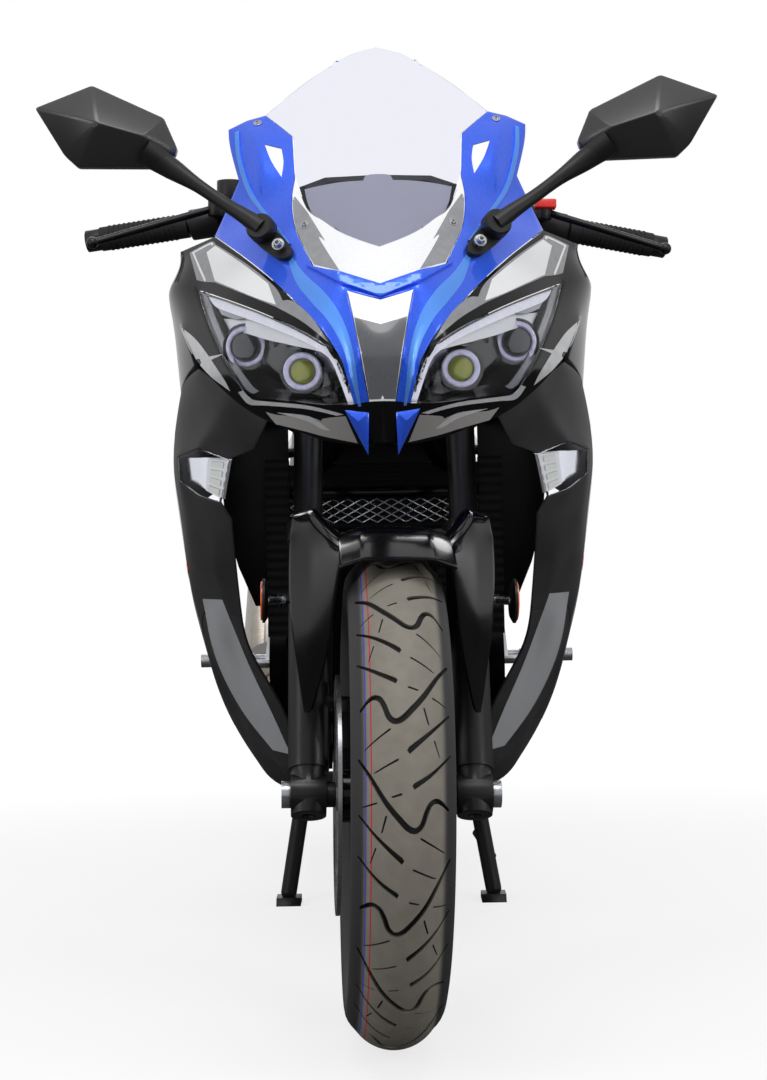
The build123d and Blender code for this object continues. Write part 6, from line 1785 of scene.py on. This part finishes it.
for body, slot, material, nodes in COPIES:
    for node, width in nodes.items():
        copy = soften(copy_of(node, node + "_softened"), width * MM, 2, 30)
        ready(dress(shade(copy, 35), material), body, slot, node)

# %% Plain nodes: where the construction model's own shape is right, only its finish is added
NODE_FINISHES = {ZINC: ["axle_and_pivot_bolts", "side_stand_pin", "rear_sprocket"],
                 SATIN: ["nose_stay", "subframe"], MOULDED: ["chain_guard", "instrument_panel"],
                 STAINLESS: ["front_disc", "rear_disc"], CAST: ["fuel_cap"], CORE: ["radiator"],
                 MIRROR: ["mirror_glasses"], GRIP: ["grips"]}
for material, nodes in NODE_FINISHES.items():
    for node in nodes:
        dress(frame["nodes"][node], material)

# %% [markdown]
# ## Tank, tail and cushions
# The tank is a pressed steel skin: its section rows become one smooth closed surface, bored for the filler.
# The tail is a single moulding like the nose panels. Each cushion is a foam pad under stretched vinyl,
# swollen a little by cloth pressure, with piping sewn along its shoulders.

# %% Tank
TANK_FLOOR, FILLER_BACK, FILLER_UP, FILLER_R, CAP_R, FILLER_DEPTH = 786.0, 600.0, 1000.0, 20.0, 46.0, 42.0
# Rows: distance back, then (side, height over the floor) from the crown down to the floor's middle.
TANK = [(432, [(0, 126), (52, 122), (84, 94), (92, 54), (70, 0), (0, 0)]),
        (480, [(0, 182), (70, 174), (108, 128), (118, 70), (84, 0), (0, 0)]),
        (545, [(0, 214), (84, 204), (138, 154), (150, 82), (100, 0), (0, 0)]),
        (655, [(0, 214), (90, 204), (152, 152), (164, 82), (108, 0), (0, 0)]),
        (740, [(0, 176), (80, 168), (132, 124), (142, 70), (100, 0), (0, 0)]),
        (800, [(0, 108), (62, 104), (100, 78), (112, 48), (88, 0), (0, 0)]),
        (841, [(0, 60), (48, 58), (80, 44), (90, 26), (72, 0), (0, 0)])]
tank_rows = [[(side, back, TANK_FLOOR + rise) for side, rise in half] for back, half in TANK]


def closed_net(name, rows, creases, heart, **settings):
    """A closed body from half sections: the cells between them and a face at each end."""
    creases = [(line_of(rows, **line), amount) for line, amount in creases]
    return outfaced(smooth_net(name, {"body": cells_of(rows) + [rows[0], rows[-1]]}, creases, heart,
                               **settings))


tank = closed_net("fuel_tank_skin", tank_rows,
                  [({"column": 4}, 0.9), ({"row": 0}, 0.55), ({"row": -1}, 0.55), ({"column": 2}, 0.5),
                   ({"column": 1}, 0.25)], heart_at(0, 620, 850))
bore = turned("tank_bore", [(0, 0), (FILLER_R, 0), (FILLER_R, 80), (0, 80)],
              at(0, FILLER_BACK, FILLER_UP - FILLER_DEPTH), UP, BLUE)
dress(shade(cut_out(tank, bore), 40), BLUE)
collar = turned("tank_collar",
                [(FILLER_R, 0), (FILLER_R, 12), (CAP_R + 3, 12), (CAP_R + 4, 11), (CAP_R + 4, 0),
                 (FILLER_R, 0)], at(0, FILLER_BACK, FILLER_UP - 8), UP, CAST, 64)
HINGE_BACK, HINGE_UP = FILLER_BACK - CAP_R - 8, FILLER_UP + 10.3
ears = both(prism("tank_ears",
                  [(HINGE_BACK - 7, FILLER_UP - 6), (HINGE_BACK + 7, FILLER_UP - 6),
                   (HINGE_BACK + 5, HINGE_UP + 6), (HINGE_BACK - 5, HINGE_UP + 6)], 11, 16, CAST, 0.8))
ready(joined("fuel_tank_skin", [tank, collar, ears]), "chassis", "metallic_blue", "fuel_tank")

# %% Tail: back, flange height, flange side, widest side, its height, lower edge side, its height
TAIL = [(842, 776, 96, 128, 742, 118, 706), (930, 778, 112, 150, 744, 132, 700),
        (1030, 790, 122, 164, 752, 140, 700), (1140, 826, 120, 162, 778, 134, 722),
        (1260, 866, 112, 150, 812, 118, 756), (1380, 896, 98, 128, 846, 96, 790),
        (1500, 918, 76, 98, 876, 74, 826), (1600, 930, 54, 68, 898, 54, 858)]
FLANGE = 24
tail_rows = [[(side - FLANGE, back, up) for back, up, side, *_ in TAIL],
             [(side, back, up) for back, up, side, *_ in TAIL],
             [(wide, back, wide_up) for back, _, _, wide, wide_up, *_ in TAIL],
             [(low, back, low_up) for back, *_, low, low_up in TAIL]]
rear_deck = [[(0, 1500, 930), tail_rows[0][-2]], [(0, 1600, 944), tail_rows[0][-1]]]
tail_net = smooth_net("tail_net", {"tail": cells_of(tail_rows) + cells_of(rear_deck)},
                      [(line_of(tail_rows, row=1), 0.85), (line_of(tail_rows, row=2), 0.45)],
                      lambda middle: Vector((0, middle.y, 745 + 0.18 * (middle.y - 850))))
TAIL_SKIN = tree_of(tail_net)
tail = cut_panel(tail_net, 0, "tail_cowl_skin", PANEL_WALL, gap=0.0)
ready(dress(tail, BLUE), "chassis", "metallic_blue", "tail_cowl")
bpy.data.objects.remove(tail_net)
TAIL_STRIPE = path([(1000, 752), (1140, 775), (1300, 822), (1470, 872)],
                   [(1470, 872), (1300, 834), (1140, 792), (1010, 768)], [(1010, 768), (1000, 752)])
stripe = laid("tail_stripe", TAIL_SKIN, TAIL_STRIPE, SILVER_FILM, lift=0.7, thick=0.9, view=LEFT_SIDE,
              spacing=3)
ready(both(stripe), "chassis", "metallic_blue")

# %% Pan under the cushions and the panel behind the tail lamp
PAN_DROP, PAN_THICK, PAN_INSET = 6.0, 2.0, 18
places = [at(sign * (side - PAN_INSET), back, up - PAN_DROP) for back, up, side,
          *_ in TAIL for sign in (-1, 1)]
faces = [(2 * k, 2 * k + 1, 2 * k + 3, 2 * k + 2) for k in range(len(TAIL) - 1)]
pan = outfaced(mesh_object("seat_pan", places, faces, smooth=False))
pan = dress(walled(pan, PAN_THICK * MM, 0.0), MOULDED)
tail_end = prism("tail_end", [(1595.5, 862), (1599, 862), (1599, 934), (1595.5, 934)], -49, 49, MOULDED, 0.5)
ready(joined("seat_pan", [pan, tail_end]), "chassis", "black_plastic")

# %% Cushion shapes
# Stations: back, crown height over the flange, shoulder share of the width, half width.
CUSHIONS = {"rider_seat": [(842, 62, 0.66, 88), (930, 34, 0.8, 108), (1030, 34, 0.84, 120),
                           (1128, 66, 0.8, 112)],
            "pillion_seat": [(1140, 58, 0.78, 106), (1260, 50, 0.82, 106), (1380, 40, 0.82, 92),
                             (1496, 20, 0.8, 70)]}
SEAT_VOXEL, SWELL_CAP, FOAM_INSET, SEAT_LIFT = 5.0 * MM, 5.0 * MM, 3.0, 0.6
CLOTH_PRESSURE, CLOTH_STEPS = 4.0, 20
PIPING_R = 1.5


def flange_line(back):
    """Height of the tail's flange at a distance back; before and past its ends, as at the ends."""
    back = max(TAIL[0][0], min(TAIL[-1][0], back))
    near, far = next(pair for pair in zip(TAIL, TAIL[1:]) if back <= pair[1][0])
    return near[1] + (far[1] - near[1]) * (back - near[0]) / (far[0] - near[0])


def seat_rows(stations, inset=0.0, parts=4):
    """Half sections of a cushion, eased between its stations."""
    rows = []
    spots = [(k, part / parts) for k in range(len(stations) - 1) for part in range(parts)]
    for k, t in spots + [(len(stations) - 2, 1.0)]:
        _, crown, share, half = eased(stations, k, t)
        back = stations[k][0] + (stations[k + 1][0] - stations[k][0]) * t
        base, half = flange_line(back) + 0.8, half - inset
        rows.append([(0, back, base + crown - inset), (half * share * 0.6, back, base + crown - inset - 2),
                     (half * share, back, base + crown - 7 - inset), (half, back, base + crown * 0.5),
                     (half - 2, back, base), (0, back, base)])
    for row, push in ((rows[0], 1), (rows[-1], -1)):
        row[:] = [(side, back + push * inset * 0.4, up) for side, back, up in row]
    return rows


def blown_up(pad):
    """Where the pad's corners go when its cover is blown up as cloth."""
    cloth = modify(pad, "CLOTH")
    cloth.settings.use_pressure = True
    cloth.settings.uniform_pressure_force = CLOTH_PRESSURE
    cloth.settings.effector_weights.gravity = 0.0
    cloth.point_cache.frame_start, cloth.point_cache.frame_end = 1, CLOTH_STEPS
    for step in range(1, CLOTH_STEPS + 1):
        bpy.context.scene.frame_set(step)
    ends = [v.co.copy() for v in evaluated(pad).data.vertices]
    pad.modifiers.clear()
    bpy.context.scene.frame_set(1)
    return ends


def swollen(pad, low, high):
    """Remeshes a foam shape, swells its cover by up to the cap, and keeps it on the flange."""
    modify(pad, "REMESH", mode="VOXEL", voxel_size=SEAT_VOXEL)
    applied(pad)
    for vertex, end in zip(pad.data.vertices, blown_up(pad)):
        move = end - vertex.co
        vertex.co += move * min(1.0, SWELL_CAP / max(move.length, 1e-9))
    for vertex in pad.data.vertices:
        back = (vertex.co.y - FRONT_AXLE_Y) / MM
        vertex.co.z = max(vertex.co.z, (flange_line(max(low, min(high, back))) + SEAT_LIFT) * MM)
    modify(pad, "SUBSURF", levels=1, render_levels=1)
    return applied(pad)


# %% Cushions
for name, stations in CUSHIONS.items():
    pad = closed_net(name + "_cushion", seat_rows(stations, FOAM_INSET),
                     [({"column": 4}, 0.8), ({"row": 0}, 0.5), ({"row": -1}, 0.5), ({"column": 2}, 0.3)],
                     lambda middle: Vector((0, middle.y, flange_line(middle.y) + 16)), levels=2, rounds=2)
    swollen(pad, stations[0][0], stations[-1][0])
    cover = tree_of(pad)
    edge = [cover.find_nearest(at(*row[2]))[0] for row in seat_rows(stations, parts=10)[1:-1]]
    piping = both(tube(name + "_piping", edge, [PIPING_R] * len(edge), VINYL))
    dress(shade(pad, 60), VINYL)
    ready(joined(name + "_cushion", [pad, piping]), "chassis", "seat_cover", name)

# %% [markdown]
# ## Drive chain
# A roller chain of 15.875 mm pitch runs round both sprockets: outer and inner plates by turns, a pin and a
# roller at each joint. One of each is drawn, and the tree for copies sets it all along the run.

# %% The chain's run
DRIVE, REAR_AXLE = Vector((800.0, 404.0)), Vector((1380.0, 334.0))
REAR_PITCH_R, DRIVE_PITCH_R, PITCH = 108.0, 41.0, 15.875
ARC_STEPS = 60


def chain_run():
    """The closed line of the chain's pins, at even steps: (back, up)."""
    span = REAR_AXLE - DRIVE
    spread = asin((REAR_PITCH_R - DRIVE_PITCH_R) / span.length)
    top = atan2(span.y, span.x) + pi / 2 + spread
    bottom = atan2(span.y, span.x) - pi / 2 - spread
    line = [centre + Vector((cos(angle), sin(angle))) * radius
            for centre, radius, start, end in ((REAR_AXLE, REAR_PITCH_R, top, bottom),
                                               (DRIVE, DRIVE_PITCH_R, bottom, top - 2 * pi))
            for angle in (start + (end - start) * k / ARC_STEPS for k in range(ARC_STEPS + 1))]
    line.append(line[0])
    lengths = [(b - a).length for a, b in zip(line, line[1:])]
    count = 2 * round(sum(lengths) / PITCH / 2)
    step, pins, passed, k = sum(lengths) / count, [], 0.0, 0
    for number in range(count):
        while passed + lengths[k] < number * step:
            passed += lengths[k]
            k += 1
        pins.append(line[k].lerp(line[k + 1], (number * step - passed) / lengths[k]))
    return pins, step


# %% Links and copies
PLATE_R, WAIST, PLATE_THICK, CORNERS = 5.6, 3.6, 1.5, 8
INNER_PLATE, OUTER_PLATE = 4.6, 6.2
ROLLER_R, ROLLER_HALF, PIN_R, PIN_HALF = 5.0, 4.5, 2.5, 8.6


def chain_part(name, outline, near, far):
    """A flat or round part of the chain, drawn at the origin from an outline of (back, up)."""
    first, second = ([Vector((depth, back, up)) * MM for back, up in outline] for depth in (near, far))
    return slab(name, first, second, CHAIN)


def link_plates(length, distance):
    """The two plates of a link that runs back from the origin, on both sides at a distance."""
    swing = [pi / 2 + pi * k / CORNERS for k in range(CORNERS + 1)]
    outline = [(PLATE_R * cos(a), PLATE_R * sin(a)) for a in swing] + [(length / 2, -WAIST)]
    outline += [(length - PLATE_R * cos(a), -PLATE_R * sin(a)) for a in swing] + [(length / 2, WAIST)]
    return joined("link_plates", [chain_part("link_plate", outline, side * distance,
                                             side * (distance + PLATE_THICK)) for side in (-1, 1)])


pins, step = chain_run()
chain_node = frame["nodes"]["drive_chain"].data.vertices
chain_side = (min(v.co.x for v in chain_node) + max(v.co.x for v in chain_node)) / 2 / MM
spots = []
for pin, after in zip(pins, pins[1:] + pins[:1]):
    spots.append((at(chain_side, pin.x, pin.y), atan2(after.y - pin.y, after.x - pin.x)))
circles = [([(radius * cos(a), radius * sin(a)) for a in turns(10)], half)
           for radius, half in ((ROLLER_R, ROLLER_HALF), (PIN_R, PIN_HALF))]
joint = joined("chain_joint", [chain_part("pin_or_roller", circle, -half, half) for circle, half in circles])
runs = [copies_on("chain_plates", link_plates(step, distance), spots[first::2], CHAIN)
        for first, distance in ((0, OUTER_PLATE), (1, INNER_PLATE))]
runs.append(copies_on("chain_joints", joint, [(place, 0.0) for place, _ in spots], CHAIN))
ready(joined("drive_chain_links", runs), "chassis", "chain_steel", "drive_chain")

# %% [markdown]
# ## Rear shock
# A wound spring on a damper, with a collar at each end and an eye across each mount.

# %% Shock
SHOCK_FOOT, SHOCK_HEAD = at(0, 985, 420), at(0, 868, 600)
COIL_R, WIRE_R, COILS, COIL_STEPS = 27.0, 5.5, 6, 20
COIL_START, COIL_SHARE = 0.18, 0.56
run = SHOCK_HEAD - SHOCK_FOOT
along = run.normalized()
out = along.cross(LEFT)
count = COILS * COIL_STEPS
wire = [SHOCK_FOOT + run * (COIL_START + COIL_SHARE * k / count)
        + (LEFT * cos(2 * pi * k / COIL_STEPS) + out * sin(2 * pi * k / COIL_STEPS)) * COIL_R * MM
        for k in range(count + 1)]
parts = [tube("shock_spring", wire, [WIRE_R] * len(wire), SPRING, 10),
         rod("shock_body", SHOCK_FOOT, SHOCK_FOOT + run * 0.5, 17, SATIN, 32),
         rod("shock_rod", SHOCK_FOOT + run * 0.45, SHOCK_HEAD, 8, ZINC, 24)]
for share, aim in ((0.15, -along), (0.78, along)):
    parts.append(turned("shock_collar", [(0, 0), (33, 0), (33, 3), (31, 5), (0, 5)], SHOCK_FOOT + run * share,
                        aim, SATIN, 40))
for middle in (SHOCK_FOOT, SHOCK_HEAD):
    parts.append(rod("shock_eye", middle - LEFT * 14 * MM, middle + LEFT * 14 * MM, 17, SATIN, 32, 1.5))
ready(joined("rear_shock_skin", parts), "chassis", "spring_steel", "rear_shock")

# %% [markdown]
# ## Instruments
# The dash faces the rider: a round tachometer with a needle beside a dark display, both under one cover.

# %% Instruments
DASH_BACK, DASH_UP, TACHO_SIDE = 158.2, 1022.0, -28
MARKS, FIRST_MARK, MARK_SWEEP, RED_FROM, NEEDLE = 13, radians(210), radians(240), 11, radians(205)


def on_dash(proud, angle=0.0, radius=0.0):
    """A place on the tachometer: how far it stands proud, and a place round its face."""
    return at(TACHO_SIDE - radius * cos(angle), DASH_BACK + proud, DASH_UP + radius * sin(angle))


parts = [turned("tacho_ring", [(0, 0), (25, 0), (25, 4), (22, 4), (22, 1.4), (0, 1.4)], on_dash(0), BACK,
                CHROME, 64),
         turned("tacho_face", [(0, 0), (21.6, 0), (21.6, 0.8), (0, 0.8)], on_dash(1.2), BACK, LAMP_BLACK, 64)]
for k in range(MARKS):
    angle = FIRST_MARK - MARK_SWEEP * k / (MARKS - 1)
    parts.append(rod("tacho_mark", on_dash(2.2, angle, 15.5), on_dash(2.2, angle, 19.5), 0.55,
                     RED if k >= RED_FROM else PLATE, 6, 0))
frame_line, glass_line = ([(DASH_BACK + back, up) for back, up in line]
                          for line in ([(0, 1004), (2.4, 1005), (2.4, 1040), (0, 1041)],
                                       [(2, 1007), (3, 1007), (3, 1038), (2, 1038)]))
parts += [rod("tacho_needle", on_dash(2.8), on_dash(2.8, NEEDLE, 18), 0.6, RED, 6, 0),
          turned("tacho_hub", [(0, 0), (3, 0), (3, 1.6), (0, 1.6)], on_dash(2.2), BACK, MOULDED, 24),
          prism("display_frame", frame_line, 4, 62, MOULDED, 0.8),
          prism("display_glass", glass_line, 7, 59, DISPLAY_GREY, 0.3)]
ready(joined("instrument_faces", parts), "chassis", "black_plastic")
